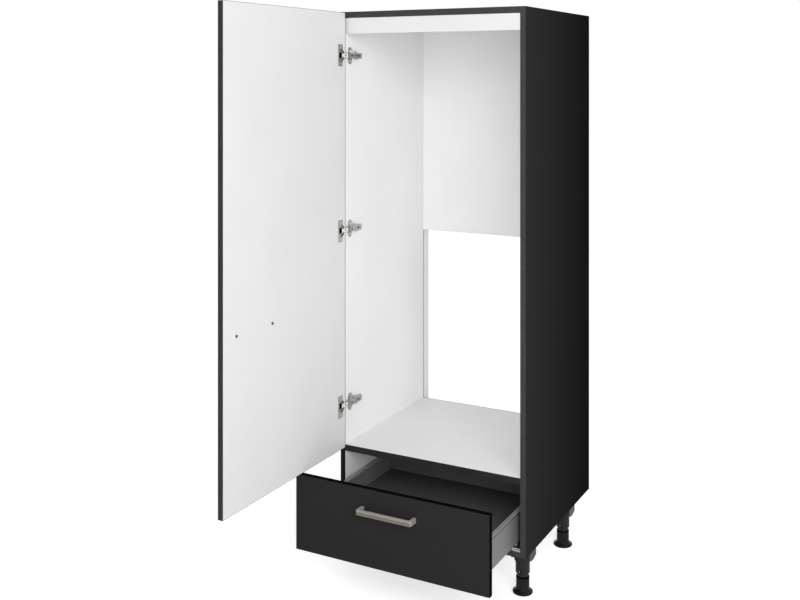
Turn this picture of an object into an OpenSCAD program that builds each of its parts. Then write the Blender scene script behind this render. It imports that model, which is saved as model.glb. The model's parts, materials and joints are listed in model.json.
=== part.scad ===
// Fridge housing unit: a tall kitchen cabinet with a niche for a built-in
// fridge, one hinged door, one drawer below and four adjustable legs.
//
// Millimetres. X runs from left to right with 0 at the middle of the cabinet,
// Y runs from the carcass front to the back, Z runs up from the carcass underside.
// The door stands open at a right angle and the drawer is pulled part way out.

/* [Cabinet] */
// Overall width
unit_w = 600; // [500:10:700]
// Overall height with its legs
unit_h = 1650; // [1400:10:2000]
// Depth of the side panels
carcass_d = 565; // [560:5:620]
// Height of the legs
leg_h = 114; // [110:1:134]

/* [Boards] */
// Thickness of the side and bottom panels
board = 16; // [15:1:19]
// Thickness of the top panel and the niche shelf
shelf_board = 19; // [16:1:25]
// Thickness of the door and the drawer front
front_board = 16; // [15:1:19]
// Thickness of the back panels
back_board = 3; // [2.5:0.5:4]
// Thickness of the edge strips
edge_t = 1; // [0.5:0.5:2]

/* [Niche] */
// Height of the rail under the top panel
rail_h = 47; // [40:1:80]
// Height of the open back above the shelf
vent_h = 585; // [300:5:700]
// Depth of the air duct behind the back panels
duct_d = 40; // [30:1:50]

/* [Fronts] */
// Height of the drawer front
drawer_front_h = 213.5; // [200:0.5:280]
// Gap between the two fronts
front_gap = 3; // [2:0.5:4]
// Distance from a front's side edge to the side of the cabinet
front_reveal = 2; // [1.5:0.5:3]
// Gap between the closed fronts and the carcass
bumper_gap = 2; // [2:0.5:3]
// How far the drawer stands open
drawer_pull = 227; // [0:1:400]
// Spacing of the handle screws
handle_span = 160; // [96:32:192]

/* [Hinges] */
// Distance from a door end to the hinge nearest to it
hinge_end = 130; // [90:5:200]
// Distance from the door edge to the middle of a cup
cup_inset = 22.5; // [22:0.5:24]
// Diameter of a hinge cup
cup_d = 35; // [35:1:36]

/* [Drawer] */
// Height of the steel drawer sides
side_h = 84; // [70:1:110]
// Thickness of the double-wall drawer sides
side_w = 13; // [12:0.5:15]
// Length of the runners
runner_l = 492; // [450:1:500]
// Depth of the drawer box behind its front
drawer_l = 490; // [450:1:500]

/* [Hidden] */
$fn = 48;
LEFT = -1;
RIGHT = 1;
FRONT = 0;
REAR = 1;

// Colours of the finishes
black_board = "#2a2a2b";
white_board = "#ecebe8";
nickel = "#a9a49b";
zinc = "#c3c6c8";
drawer_grey = "#84878a";
drawer_dark = "#434547";
black_plastic = "#1d1d1e";
beech = "#c9a878";

// Clearances
// slip: boards in grooves and between neighbours; seam: between edge strips;
// screw_slip: screws, dowels and pins in holes, on the radius; run_slip: sliding members
slip = 0.2;
seam = 0.05;
screw_slip = 0.05;
run_slip = 0.3;

// Carcass
half_w = unit_w / 2;
inner_x = half_w - board;
carcass_h = unit_h - leg_h;
floor_level = -leg_h;
base_z = 0;
top_z = carcass_h;
board_d = carcass_d - duct_d;
back_y = board_d;
groove_w = back_board + 2 * slip;
groove_d = 6;
shelf_top_z = base_z + drawer_front_h + front_gap / 2 + 7;
shelf_z = shelf_top_z - shelf_board;
top_panel_z = top_z - shelf_board;
rail_y = edge_t + 1;

// Board joints: dowels and cam fittings in each end of the level boards
dowel_r = 4;
dowel_l = 32;
dowel_in_side = 11;
dowel_ys = [60, board_d - 76];
cam_ys = [110, board_d - 126];
cam_r = 7.5;
cam_depth = 12;
cam_inset = 24;
cam_bolt_r = 2.5;
cam_bolt_in_side = 11;
rail_dowel_zs = [top_panel_z - rail_h / 4, top_panel_z - 3 * rail_h / 4];

// Fronts
front_w = unit_w - 2 * front_reveal;
door_z = base_z + drawer_front_h + front_gap;
door_h = top_z - 2.5 - door_z;
front_in_y = -bumper_gap;
front_out_y = front_in_y - front_board;

// Door pivot: the line about which the closed door swings
pivot_x = -half_w + 8.5;
pivot_y = front_in_y - 12.5;

// Hinges, in the middle of each cup
hinge_zs = [door_z + door_h - hinge_end, door_z + door_h / 2, door_z + hinge_end];
cup_r = cup_d / 2;
cup_wall = 0.7;
cup_depth = 11.5;
cup_x = -half_w + front_reveal + cup_inset;
cup_flange_t = 1;
cup_flange_h = 66;
cup_screw_span = 48;
cup_screw_in = 6;
wing_in = -5;
plate_y = 26;
plate_screw_span = 32;
plate_t = 2.4;
arm_w = 16;
arm_t = 1.4;
arm_tail_y = 84;
arm_boss_y = 46;
arm_boss_r = 11;
arm_top = 13;
arm_screw_ys = [20, 58];
arm_slot_y = 44;
link_pin_x = 23.4;
link_pin_r = 1.1;
link_t = 1.2;
link_w = 11;
link_l = 16.4;
link_hook = 4.5;
link_hook_t = 0.9;

// Handles
handle_leg = 10;
handle_t = 9.5;
handle_h = 13;
handle_proj = 32;
handle_r = 9;
handle_bevel = 4;
handle_screw_r = 2;
door_handle_edge = 56;
door_handle_up = 455;
drawer_handle_drop = 56.5;
door_handle_x = half_w - front_reveal - door_handle_edge - handle_span / 2;
door_handle_z = door_z + door_handle_up;
drawer_handle_z = base_z + drawer_front_h - drawer_handle_drop;

// Drawer box, with Y values for the closed drawer
side_gap = 10.7;
side_out_x = inner_x - side_gap;
side_in_x = side_out_x - side_w;
sheet = 1.2;
side_lift = 22;
side_z = base_z + board + side_lift;
floor_t = 16;
floor_z = side_z + 17;
floor_flange = 15;
bracket_t = 1.6;
drawer_back_y = front_in_y + drawer_l - floor_t;
drawer_back_h = side_h - (floor_z + floor_t - side_z) - 3;

// Runners: a rail with a blade, and two caps one inside the other over the blade,
// both inside the drawer side
rail_t = 1.6;
rail_z = base_z + board + 2;
rail_leaf_h = 20;
rail_reach = 25;
cap_t = 1.2;
cap_up = 12;
run_x = side_out_x - side_w / 2;
carrier_w = side_w - 2 * sheet - 2 * slip;
carrier_top = side_z + cap_up;
carrier_low = side_z + 1;
carrier_start = 12;
carrier_l = 466;
slider_w = carrier_w - 2 * cap_t - 2 * run_slip;
slider_top = carrier_top - cap_t - run_slip;
slider_low = side_z + 1.5;
slider_start = 30;
slider_l = 430;
blade_w = slider_w - 2 * cap_t - 2 * run_slip;
blade_top = slider_top - cap_t - run_slip;
runner_screw_ys = [37, 261, 453];

// Legs
leg_x = half_w - 25;
leg_ys = [43, carcass_d - 184];
socket_plate = 4;
socket_r = 24;
socket_h = 22;
outer_lug_l = 48;
outer_lug_h = 28;
lug_l = 38;
lug_w = 15;
spigot_r = 15;
tube_r = 20.2;
tube_z = floor_level + 55;
neck_r = 16;
neck_h = 10;
spindle_r = 10;
foot_r = 28.6;
foot_rim = floor_level + 7;
sleeve_r = 18.8;
sleeve_top = tube_z - 8;
hole_z = tube_z + 9;
hole_r = 4;

// A box from its low corner to its high corner
module box_between(low, high) {
    translate(low) cube(high - low);
}

// A cylinder along X that starts at x = 0 and runs right
module rod_x(r, l) {
    rotate([0, 90, 0]) cylinder(r = r, h = l);
}

// A cylinder along Y that starts at y = 0 and runs back
module rod_y(r, l) {
    rotate([-90, 0, 0]) cylinder(r = r, h = l);
}

// Puts its children, made for the right side, on the side s
module on_side(s) {
    if (s == RIGHT) children();
    else mirror([1, 0, 0]) children();
}

// Turns the closed door, with everything on it, to where it stands open
module door_open() {
    translate([pivot_x, pivot_y, 0]) rotate([0, 0, -90]) translate([-pivot_x, -pivot_y, 0]) children();
}

// Moves the closed drawer, with everything on it, to where it stands open
module drawer_out() {
    translate([0, -drawer_pull, 0]) children();
}

// A flat rectangle with round corners, from 0 to w and from 0 to h
module rounded_rect(w, h, r) {
    translate([r, 0]) square([w - 2 * r, h]);
    translate([0, r]) square([w, h - 2 * r]);
    for (x = [r, w - r], y = [r, h - r]) translate([x, y]) circle(r);
}

// A screw along Y: a shank that runs back from y = 0 and a round head before it
module screw_y(r, l, head_r, head_t) {
    difference() {
        union() {
            rod_y(r, l);
            translate([0, -head_t, 0]) rod_y(head_r, head_t);
        }
        cross_slot(head_r, head_t);
    }
}

// The cross in a screw head, cut in from y = -head_t
module cross_slot(head_r, head_t) {
    for (a = [0, 90]) translate([0, -head_t, 0]) rotate([0, a, 0])
        translate([-head_r * 0.6, -0.1, -0.3]) cube([head_r * 1.2, head_t * 0.6, 0.6]);
}

// Where a level board of thickness t at height z meets the right side panel
module joint_holes_in_side(z, t) {
    for (y = dowel_ys) translate([inner_x - 1, y, z + t / 2])
        rod_x(dowel_r + screw_slip, dowel_in_side + 1 + screw_slip);
    for (y = cam_ys) translate([inner_x - 1, y, z + t / 2])
        rod_x(cam_bolt_r + screw_slip, cam_bolt_in_side + 1 + screw_slip);
}

// The same joint's holes in the right end of the board
module joint_holes_in_board(z, t) {
    for (y = dowel_ys) translate([inner_x - (dowel_l - dowel_in_side) - 1, y, z + t / 2])
        rod_x(dowel_r + screw_slip, dowel_l);
    for (y = cam_ys) {
        translate([inner_x - cam_inset, y, z + t / 2]) rod_x(cam_bolt_r + 0.5, cam_inset + 1);
        translate([inner_x - cam_inset, y, z - 1]) cylinder(r = cam_r + screw_slip, h = cam_depth + 1);
    }
}

// A side panel for the right side; hinge_side is true for the one with the door
module side_panel(hinge_side) {
    difference() {
        box_between([inner_x, edge_t, base_z], [half_w, carcass_d, top_z]);
        box_between([inner_x - 1, back_y - slip, base_z - 1],
                    [inner_x + groove_d + slip, back_y - slip + groove_w, top_z + 1]);
        joint_holes_in_side(base_z, board);
        joint_holes_in_side(shelf_z, shelf_board);
        joint_holes_in_side(top_panel_z, shelf_board);
        for (z = rail_dowel_zs) translate([inner_x - 1, rail_y + board / 2, z])
            rod_x(dowel_r + screw_slip, dowel_in_side + 1 + screw_slip);
        for (y = runner_screw_ys) translate([inner_x - 1, y, rail_z + 12])
            rod_x(1.75 + screw_slip, 12 + screw_slip);
        if (hinge_side) for (z = hinge_zs, dz = [-1, 1])
            translate([inner_x - 1, plate_y, z + dz * plate_screw_span / 2])
                rod_x(2.5 + screw_slip, 13 + screw_slip);
    }
}

module side_panel_left() {
    color(black_board) on_side(LEFT) side_panel(true);
}

module side_panel_right() {
    color(black_board) on_side(RIGHT) side_panel(false);
}

// A level board between the side panels, from its underside z
module level_board(z, t) {
    difference() {
        box_between([-inner_x, edge_t, z], [inner_x, board_d, z + t]);
        for (s = [LEFT, RIGHT]) on_side(s) joint_holes_in_board(z, t);
    }
}

module top_panel() {
    color(white_board) level_board(top_panel_z, shelf_board);
}

module niche_shelf() {
    color(white_board) level_board(shelf_z, shelf_board);
}

module bottom_panel() {
    color(white_board) difference() {
        level_board(base_z, board);
        for (s = [LEFT, RIGHT], e = [FRONT, REAR]) on_side(s) socket_screw_holes(e);
    }
}

module top_rail() {
    color(white_board) difference() {
        box_between([-inner_x, rail_y, top_panel_z - rail_h], [inner_x, rail_y + board, top_panel_z]);
        for (s = [LEFT, RIGHT], z = rail_dowel_zs) on_side(s)
            translate([inner_x - (dowel_l - dowel_in_side) - 1, rail_y + board / 2, z])
                rod_x(dowel_r + screw_slip, dowel_l);
    }
}

// A back panel in the grooves of the side panels, between the heights low and high
module back_panel(low, high) {
    box_between([-inner_x - groove_d, back_y, low], [inner_x + groove_d, back_y + back_board, high]);
}

module upper_back_panel() {
    color(white_board) back_panel(shelf_top_z + vent_h, top_z);
}

module lower_back_panel() {
    color(white_board) back_panel(base_z, shelf_top_z);
}

module carcass_edge_strips() {
    color(black_board) {
        for (s = [LEFT, RIGHT]) on_side(s)
            box_between([inner_x, 0, base_z], [half_w, edge_t, top_z]);
        for (b = [[base_z, board], [shelf_z, shelf_board], [top_panel_z, shelf_board]])
            box_between([-inner_x + seam, 0, b[0]], [inner_x - seam, edge_t, b[0] + b[1]]);
    }
}

module carcass_dowels() {
    color(beech) for (s = [LEFT, RIGHT]) on_side(s) {
        for (b = [[base_z, board], [shelf_z, shelf_board], [top_panel_z, shelf_board]], y = dowel_ys)
            translate([inner_x + dowel_in_side - dowel_l, y, b[0] + b[1] / 2]) rod_x(dowel_r, dowel_l);
        for (z = rail_dowel_zs)
            translate([inner_x + dowel_in_side - dowel_l, rail_y + board / 2, z]) rod_x(dowel_r, dowel_l);
    }
}

// A cam bolt along X: a shank in the side panel, a collar and a neck that ends in the cam
module cam_bolts() {
    color(zinc) for (s = [LEFT, RIGHT]) on_side(s)
        for (b = [[base_z, board], [shelf_z, shelf_board], [top_panel_z, shelf_board]], y = cam_ys)
            translate([inner_x - cam_inset + cam_r * 0.5, y, b[0] + b[1] / 2])
                rod_x(cam_bolt_r, cam_inset - cam_r * 0.5 + cam_bolt_in_side);
}

// A cam housing: a disc with a slot for the bolt and a cross in its open face
module cam_housings() {
    color(zinc) for (s = [LEFT, RIGHT]) on_side(s)
        for (b = [[base_z, board], [shelf_z, shelf_board], [top_panel_z, shelf_board]], y = cam_ys)
            translate([inner_x - cam_inset, y, b[0]]) difference() {
                cylinder(r = cam_r, h = cam_depth);
                translate([0, 0, b[1] / 2]) rod_x(cam_bolt_r + screw_slip, cam_r + 1);
                translate([0, -cam_bolt_r - screw_slip, b[1] / 2])
                    cube([cam_r + 1, 2 * (cam_bolt_r + screw_slip), cam_depth]);
                for (a = [0, 90]) rotate([0, 0, a]) translate([-4, -0.8, -1]) cube([8, 1.6, 2.5]);
            }
}

// A front board inside its edge strips, from the height z
module front_panel(z, h) {
    box_between([-front_w / 2 + edge_t, front_out_y, z + edge_t],
                [front_w / 2 - edge_t, front_in_y, z + h - edge_t]);
}

// The four edge strips round a front board
module front_strips(z, h) {
    for (s = [LEFT, RIGHT]) on_side(s)
        box_between([front_w / 2 - edge_t, front_out_y, z], [front_w / 2, front_in_y, z + h]);
    for (low = [z, z + h - edge_t])
        box_between([-front_w / 2 + edge_t + seam, front_out_y, low],
                    [front_w / 2 - edge_t - seam, front_in_y, low + edge_t]);
}

// Holes for the two handle screws, through a front board
module handle_holes(x, z) {
    for (s = [LEFT, RIGHT]) translate([x + s * handle_span / 2, front_out_y - 1, z])
        rod_y(handle_screw_r + screw_slip, front_board + 2);
}

// A bow handle on the outer face of a closed front, with a sloped upper edge
// along its bar and a tapped hole in each leg
module bow_handle(x, z) {
    outer_l = handle_span + handle_leg;
    tuck = 20;
    translate([x - outer_l / 2, front_out_y, z + handle_h / 2]) rotate([180, 0, 0]) difference() {
        linear_extrude(height = handle_h) difference() {
            translate([0, -tuck]) rounded_rect(outer_l, handle_proj + tuck, handle_r);
            translate([handle_leg, -tuck])
                rounded_rect(outer_l - 2 * handle_leg, handle_proj + tuck - handle_t, handle_r - 5);
            translate([-1, -tuck - 1]) square([outer_l + 2, tuck + 1]);
        }
        translate([-1, handle_proj, 0]) rotate([90, 0, 90]) linear_extrude(height = outer_l + 2)
            polygon([[-handle_bevel / 2, -1], [1, -1], [1, handle_bevel + 2], [0, handle_bevel],
                     [-handle_bevel / 2, 0]]);
        for (leg_mid = [handle_leg / 2, outer_l - handle_leg / 2])
            translate([leg_mid, -1, handle_h / 2]) rod_y(handle_screw_r + screw_slip, 12);
    }
}

// The two screws of a handle, with their heads on the inner face
module handle_screws(x, z) {
    for (s = [LEFT, RIGHT]) translate([x + s * handle_span / 2, front_in_y, z])
        rotate([0, 0, 180]) screw_y(handle_screw_r, front_board + 9, 4, 2);
}

module door_panel() {
    color(black_board) door_open() difference() {
        front_panel(door_z, door_h);
        for (z = hinge_zs) {
            translate([cup_x, front_in_y - cup_depth - cup_wall - slip, z])
                rod_y(cup_r + screw_slip, cup_depth + cup_wall + slip + 1);
            for (s = [-1, 1])
                translate([cup_x + cup_screw_in, front_in_y - 10, z + s * cup_screw_span / 2])
                rod_y(1.75 + screw_slip, 11);
        }
        handle_holes(door_handle_x, door_handle_z);
    }
}

module door_edge_strips() {
    color(black_board) door_open() front_strips(door_z, door_h);
}

module door_handle() {
    color(nickel) door_open() bow_handle(door_handle_x, door_handle_z);
}

module door_handle_screws() {
    color(zinc) door_open() handle_screws(door_handle_x, door_handle_z);
}

// A hinge cup: a pressed bowl with a flange that takes two screws
module hinge_cup(z) {
    color(nickel) door_open() translate([cup_x, front_in_y, z]) difference() {
        union() {
            translate([0, -cup_depth - cup_wall, 0]) rod_y(cup_r, cup_depth + cup_wall);
            rotate([-90, 0, 0]) linear_extrude(height = cup_flange_t) cup_flange();
        }
        translate([0, -cup_depth, 0]) rod_y(cup_r - cup_wall, cup_depth + cup_flange_t + 1);
        for (s = [-1, 1]) translate([cup_screw_in, -1, s * cup_screw_span / 2])
            rod_y(2, cup_flange_t + 2);
    }
}

// Outline of the cup's flange: a straight edge away from the hinge side, a square
// wing above and below, and slopes to a round rim
module cup_flange() {
    rim = cup_r + 0.5;
    end = cup_flange_h / 2;
    circle(rim);
    for (s = [-1, 1]) polygon([
        [rim, 0], [rim, s * (end - 2)], [rim - 2, s * end], [wing_in, s * end],
        [wing_in - 1, s * (end - 1)], [wing_in - 1, s * (end - 11)],
        [-rim * 0.7, s * rim * 0.7], [0, 0]]);
}

module hinge_cup_top() { hinge_cup(hinge_zs[0]); }
module hinge_cup_middle() { hinge_cup(hinge_zs[1]); }
module hinge_cup_bottom() { hinge_cup(hinge_zs[2]); }

module hinge_cup_screws() {
    color(zinc) door_open() for (z = hinge_zs, s = [-1, 1])
        translate([cup_x + cup_screw_in, front_in_y + cup_flange_t, z + s * cup_screw_span / 2])
            rotate([0, 0, 180]) screw_y(1.75, 10, 3.2, 1.2);
}

// A hinge link as the door stands open: an eye on the arm's pin, a flat bar
// along the door and a hook that reaches into the cup
module hinge_link(z) {
    color(nickel) translate([link_pin_x - half_w, 0, z - link_w / 2]) difference() {
        linear_extrude(height = link_w) {
            circle(link_pin_r + 0.7);
            translate([-link_t / 2, -link_l - link_hook_t / 2]) square([link_t, link_l]);
            translate([-link_hook, -link_l - link_hook_t / 2]) square([link_hook, link_hook_t]);
        }
        translate([0, 0, -1]) cylinder(r = link_pin_r + screw_slip, h = link_w + 2);
    }
}

module hinge_link_top() { hinge_link(hinge_zs[0]); }
module hinge_link_middle() { hinge_link(hinge_zs[1]); }
module hinge_link_bottom() { hinge_link(hinge_zs[2]); }

module hinge_pins() {
    color(zinc) for (z = hinge_zs) translate([link_pin_x - half_w, 0, z - arm_w / 2])
        cylinder(r = link_pin_r, h = arm_w);
}

// Outline of a hinge arm from above, with X from the side of the cabinet
module arm_outline() {
    top_x = board + arm_top;
    translate([link_pin_x, 0]) circle(link_pin_r + 0.4);
    polygon([[link_pin_x - 1.5, 0], [link_pin_x + 1.5, 0], [top_x, 12], [top_x, arm_tail_y - 6],
             [top_x - 4, arm_tail_y], [board + plate_t, arm_tail_y], [board + plate_t, 18]]);
}

// A hinge arm: a channel of two flanges and a web, with a hole for each of its screws
module hinge_arm(z) {
    web_x = board + arm_top - arm_t;
    color(nickel) translate([-half_w, 0, z]) difference() {
        union() {
            for (low = [-arm_w / 2, arm_w / 2 - arm_t]) translate([0, 0, low])
                linear_extrude(height = arm_t) arm_outline();
            box_between([web_x, 12, -arm_w / 2], [web_x + arm_t, arm_tail_y - 6, arm_w / 2]);
            translate([web_x, arm_boss_y, 0]) rod_x(arm_boss_r, arm_t);
        }
        box_between([web_x - 1, arm_slot_y - 1.2, -4], [web_x + arm_t + 1, arm_slot_y + 1.2, 4]);
        translate([link_pin_x, 0, -arm_w / 2 - 1]) cylinder(r = link_pin_r, h = arm_w + 2);
        for (y = arm_screw_ys) translate([web_x - 1, y, 0]) rod_x(2.6, arm_t + 2);
    }
}

module hinge_arm_top() { hinge_arm(hinge_zs[0]); }
module hinge_arm_middle() { hinge_arm(hinge_zs[1]); }
module hinge_arm_bottom() { hinge_arm(hinge_zs[2]); }

// A cruciform mounting plate: two wings with a screw each, and a body along Y
module hinge_plate(z) {
    wing_r = 10;
    color(nickel) translate([-inner_x, 0, z]) difference() {
        union() {
            box_between([0, plate_y - 10, -arm_w / 2 + arm_t + 0.2],
                        [plate_t, arm_tail_y - 6, arm_w / 2 - arm_t - 0.2]);
            translate([0, plate_y, 0]) rotate([90, 0, 90]) linear_extrude(height = plate_t)
                for (s = [-1, 1]) {
                    translate([0, s * plate_screw_span / 2]) circle(wing_r);
                    translate([-wing_r, s > 0 ? 0 : -plate_screw_span / 2])
                        square([2 * wing_r, plate_screw_span / 2]);
                }
        }
        for (s = [-1, 1]) translate([-1, plate_y, s * plate_screw_span / 2]) rod_x(2.6, plate_t + 2);
        for (y = arm_screw_ys) translate([-1, y, 0]) rod_x(2 + screw_slip, plate_t + 2);
    }
}

module hinge_plate_top() { hinge_plate(hinge_zs[0]); }
module hinge_plate_middle() { hinge_plate(hinge_zs[1]); }
module hinge_plate_bottom() { hinge_plate(hinge_zs[2]); }

module hinge_plate_screws() {
    color(zinc) for (z = hinge_zs, s = [-1, 1])
        translate([-inner_x + plate_t, plate_y, z + s * plate_screw_span / 2])
            rotate([0, 0, 90]) screw_y(2.5, plate_t + 11.5, 4, 1.6);
}

// The side adjusting screw and the fixing screw of each arm
module hinge_arm_screws() {
    color(zinc) for (z = hinge_zs, y = arm_screw_ys)
        translate([-inner_x + arm_top, y, z]) rotate([0, 0, 90]) screw_y(2, arm_top - 0.2, 3, 1.4);
}

module drawer_front() {
    color(black_board) drawer_out() difference() {
        front_panel(base_z, drawer_front_h);
        handle_holes(0, drawer_handle_z);
        for (s = [LEFT, RIGHT], z = bracket_screw_zs())
            on_side(s) translate([side_in_x + side_w / 2, front_in_y - 11, z]) rod_y(1.75 + screw_slip, 12);
    }
}

module drawer_front_edge_strips() {
    color(black_board) drawer_out() front_strips(base_z, drawer_front_h);
}

module drawer_handle() {
    color(nickel) drawer_out() bow_handle(0, drawer_handle_z);
}

module drawer_handle_screws() {
    color(zinc) drawer_out() handle_screws(0, drawer_handle_z);
}

// Cross section of the right drawer side: double walls of sheet steel, open
// below for the runner, a foot under the floor board and two fine lines outside
module side_section() {
    difference() {
        union() {
            translate([side_in_x, side_z]) square([side_w, side_h]);
            translate([side_in_x - floor_flange, floor_z - sheet])
                square([floor_flange + sheet, sheet]);
        }
        translate([side_in_x + sheet, side_z - 1]) square([side_w - 2 * sheet, side_h - sheet + 1]);
        for (dz = [5, 15]) translate([side_out_x - 0.4, side_z + side_h - dz]) square([1, 0.8]);
    }
}

module drawer_side(s) {
    color(drawer_grey) drawer_out() on_side(s)
        translate([0, front_in_y + drawer_l, 0]) rotate([90, 0, 0])
            linear_extrude(height = drawer_l) side_section();
}

module drawer_side_left() { drawer_side(LEFT); }
module drawer_side_right() { drawer_side(RIGHT); }

module drawer_floor() {
    color(drawer_dark) drawer_out()
        box_between([-side_in_x + slip, front_in_y + slip, floor_z],
                    [side_in_x - slip, front_in_y + drawer_l, floor_z + floor_t]);
}

module drawer_back() {
    color(drawer_dark) drawer_out()
        box_between([-side_in_x + slip, drawer_back_y, floor_z + floor_t],
                    [side_in_x - slip, drawer_back_y + floor_t, floor_z + floor_t + drawer_back_h]);
}

// Heights of the screws that hold a bracket to the drawer front
function bracket_screw_zs() = [side_z + 16, side_z + side_h - 16];

// The bracket that joins a drawer side to the front: a foot plate and a tongue
module bracket() {
    inner = side_w - 2 * sheet - 0.4;
    difference() {
        union() {
            translate([side_in_x + sheet + 0.2, front_in_y, side_z + sheet + 0.2])
                cube([inner, bracket_t, side_h - 2 * sheet - 0.4]);
            translate([side_in_x + sheet + 0.2, front_in_y, side_z + 26])
                cube([inner, 34, side_h - 52]);
        }
        for (z = bracket_screw_zs()) translate([side_in_x + side_w / 2, front_in_y - 1, z])
            rod_y(1.75 + screw_slip, bracket_t + 2);
    }
}

module drawer_front_brackets() {
    color(zinc) drawer_out() for (s = [LEFT, RIGHT]) on_side(s) bracket();
}

// The screws that hold the brackets to the front
module drawer_screws() {
    color(zinc) drawer_out() for (s = [LEFT, RIGHT]) on_side(s)
        for (z = bracket_screw_zs()) translate([side_in_x + side_w / 2, front_in_y + bracket_t, z])
            rotate([0, 0, 180]) screw_y(1.75, 12, 3.2, 1.4);
}

// The member on the cabinet: an upright leaf on the side panel, a foot and a blade
module runner_rail(s) {
    color(zinc) on_side(s) difference() {
        translate([0, edge_t + 1 + runner_l, 0]) rotate([90, 0, 0]) linear_extrude(height = runner_l) {
            translate([inner_x - rail_t, rail_z]) square([rail_t, rail_leaf_h]);
            translate([inner_x - rail_reach, rail_z]) square([rail_reach, rail_t]);
            translate([inner_x - rail_reach, rail_z]) square([rail_t, 6]);
            translate([run_x - blade_w / 2, rail_z]) square([blade_w, blade_top - rail_z]);
        }
        for (y = runner_screw_ys) translate([inner_x - rail_t - 1, y, rail_z + 12])
            rod_x(2.1, rail_t + 2);
    }
}

module runner_rail_left() { runner_rail(LEFT); }
module runner_rail_right() { runner_rail(RIGHT); }

// A cap of sheet steel along Y over the runner's line, open below
module cap(w, low, top, start, l) {
    translate([0, start + l, 0]) rotate([90, 0, 0]) linear_extrude(height = l) difference() {
        translate([run_x - w / 2, low]) square([w, top - low]);
        translate([run_x - w / 2 + cap_t, low - 1]) square([w - 2 * cap_t, top - low - cap_t + 1]);
    }
}

// The middle member, half as far out as the drawer
module runner_slider(s) {
    color(zinc) on_side(s)
        cap(slider_w, slider_low, slider_top, slider_start - drawer_pull / 2, slider_l);
}

module runner_slider_left() { runner_slider(LEFT); }
module runner_slider_right() { runner_slider(RIGHT); }

// The member that the drawer side rests on
module runner_carrier(s) {
    color(zinc) drawer_out() on_side(s)
        cap(carrier_w, carrier_low, carrier_top, front_in_y + carrier_start, carrier_l);
}

module runner_carrier_left() { runner_carrier(LEFT); }
module runner_carrier_right() { runner_carrier(RIGHT); }

module runner_screws() {
    color(zinc) for (s = [LEFT, RIGHT]) on_side(s) for (y = runner_screw_ys)
        translate([inner_x - rail_t, y, rail_z + 12]) rotate([0, 0, -90]) screw_y(1.75, 11, 3.6, 1.4);
}

// Middle of the right leg at the end e
function leg_y(e) = leg_ys[e];

// Where the socket's screws stand: one on the inner lug, one on each lug along Y
function lug_screws() = [[-lug_l + 6, 0], [-13, lug_l - 6], [-13, -lug_l + 6]];

module socket_screw_holes(e) {
    for (p = lug_screws()) translate([leg_x + p[0], leg_y(e) + p[1], base_z - 1])
        cylinder(r = 1.75 + screw_slip, h = 12 + screw_slip);
}

// A socket: a plate with lugs under the carcass, ribs and a round cup for the tube
module leg_socket(e) {
    translate([leg_x, leg_y(e), 0]) difference() {
        union() {
            translate([0, 0, base_z - socket_plate]) linear_extrude(height = socket_plate) {
                circle(socket_r + 0.5);
                translate([-lug_l, -lug_w / 2]) square([lug_l, lug_w]);
                translate([-20, -lug_l]) square([lug_w, 2 * lug_l]);
                translate([8, 0]) square([14, outer_lug_l]);
            }
            box_between([19, 0, base_z - outer_lug_h + 6], [22, outer_lug_l, base_z]);
            box_between([8, outer_lug_l - 3, base_z - outer_lug_h + 6], [22, outer_lug_l, base_z]);
            translate([19, 0, 0]) rotate([90, 0, 90]) linear_extrude(height = 3)
                polygon([[12, base_z - outer_lug_h], [30, base_z - outer_lug_h],
                         [outer_lug_l, base_z - outer_lug_h + 6], [12, base_z - outer_lug_h + 6]]);
            translate([0, 0, base_z - socket_h]) cylinder(r = socket_r, h = socket_h - 1);
            for (s = [-1, 1]) translate([-1.5 - 12.5, 0, 0]) rotate([90, 0, 90]) linear_extrude(height = 3)
                polygon([[s * 15, base_z - socket_plate], [s * (lug_l - 11), base_z - socket_plate],
                         [s * 21, base_z - socket_h], [s * 15, base_z - socket_h]]);
        }
        translate([0, 0, base_z - socket_h - 1])
            cylinder(r = spigot_r + screw_slip, h = socket_h - socket_plate + 1);
        for (p = lug_screws()) translate([p[0], p[1], base_z - socket_plate - 1])
            cylinder(r = 2, h = socket_plate + 2);
    }
}

module leg_sockets() {
    color(black_plastic) for (s = [LEFT, RIGHT], e = [FRONT, REAR]) on_side(s) leg_socket(e);
}

module leg_screws() {
    color(zinc) for (s = [LEFT, RIGHT], e = [FRONT, REAR], p = lug_screws()) on_side(s)
        translate([leg_x + p[0], leg_y(e) + p[1], base_z - socket_plate])
            rotate([90, 0, 0]) screw_y(1.75, socket_plate + 10, 3.2, 1.4);
}

// A leg tube: a spigot in the socket, a round body with a hole in front, and a
// neck below that reaches into the foot's sleeve
module leg_tube(s, e) {
    color(black_plastic) on_side(s) translate([leg_x, leg_y(e), 0]) difference() {
        union() {
            translate([0, 0, tube_z + 3]) cylinder(r = tube_r, h = base_z - socket_h - tube_z - 3);
            translate([0, 0, tube_z]) cylinder(r1 = neck_r, r2 = tube_r, h = 3);
            translate([0, 0, tube_z - neck_h]) cylinder(r = neck_r, h = neck_h + 1);
            translate([0, 0, tube_z]) cylinder(r = spigot_r, h = base_z - socket_plate - 1 - tube_z);
        }
        translate([0, 0, tube_z - neck_h - 1])
            cylinder(r = spindle_r + 0.08, h = base_z - socket_plate - 3 - tube_z + neck_h);
        translate([0, -tube_r - 1, hole_z]) rod_y(hole_r, 7);
    }
}

module leg_tube_front_left() { leg_tube(LEFT, FRONT); }
module leg_tube_front_right() { leg_tube(RIGHT, FRONT); }
module leg_tube_rear_left() { leg_tube(LEFT, REAR); }
module leg_tube_rear_right() { leg_tube(RIGHT, REAR); }

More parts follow.
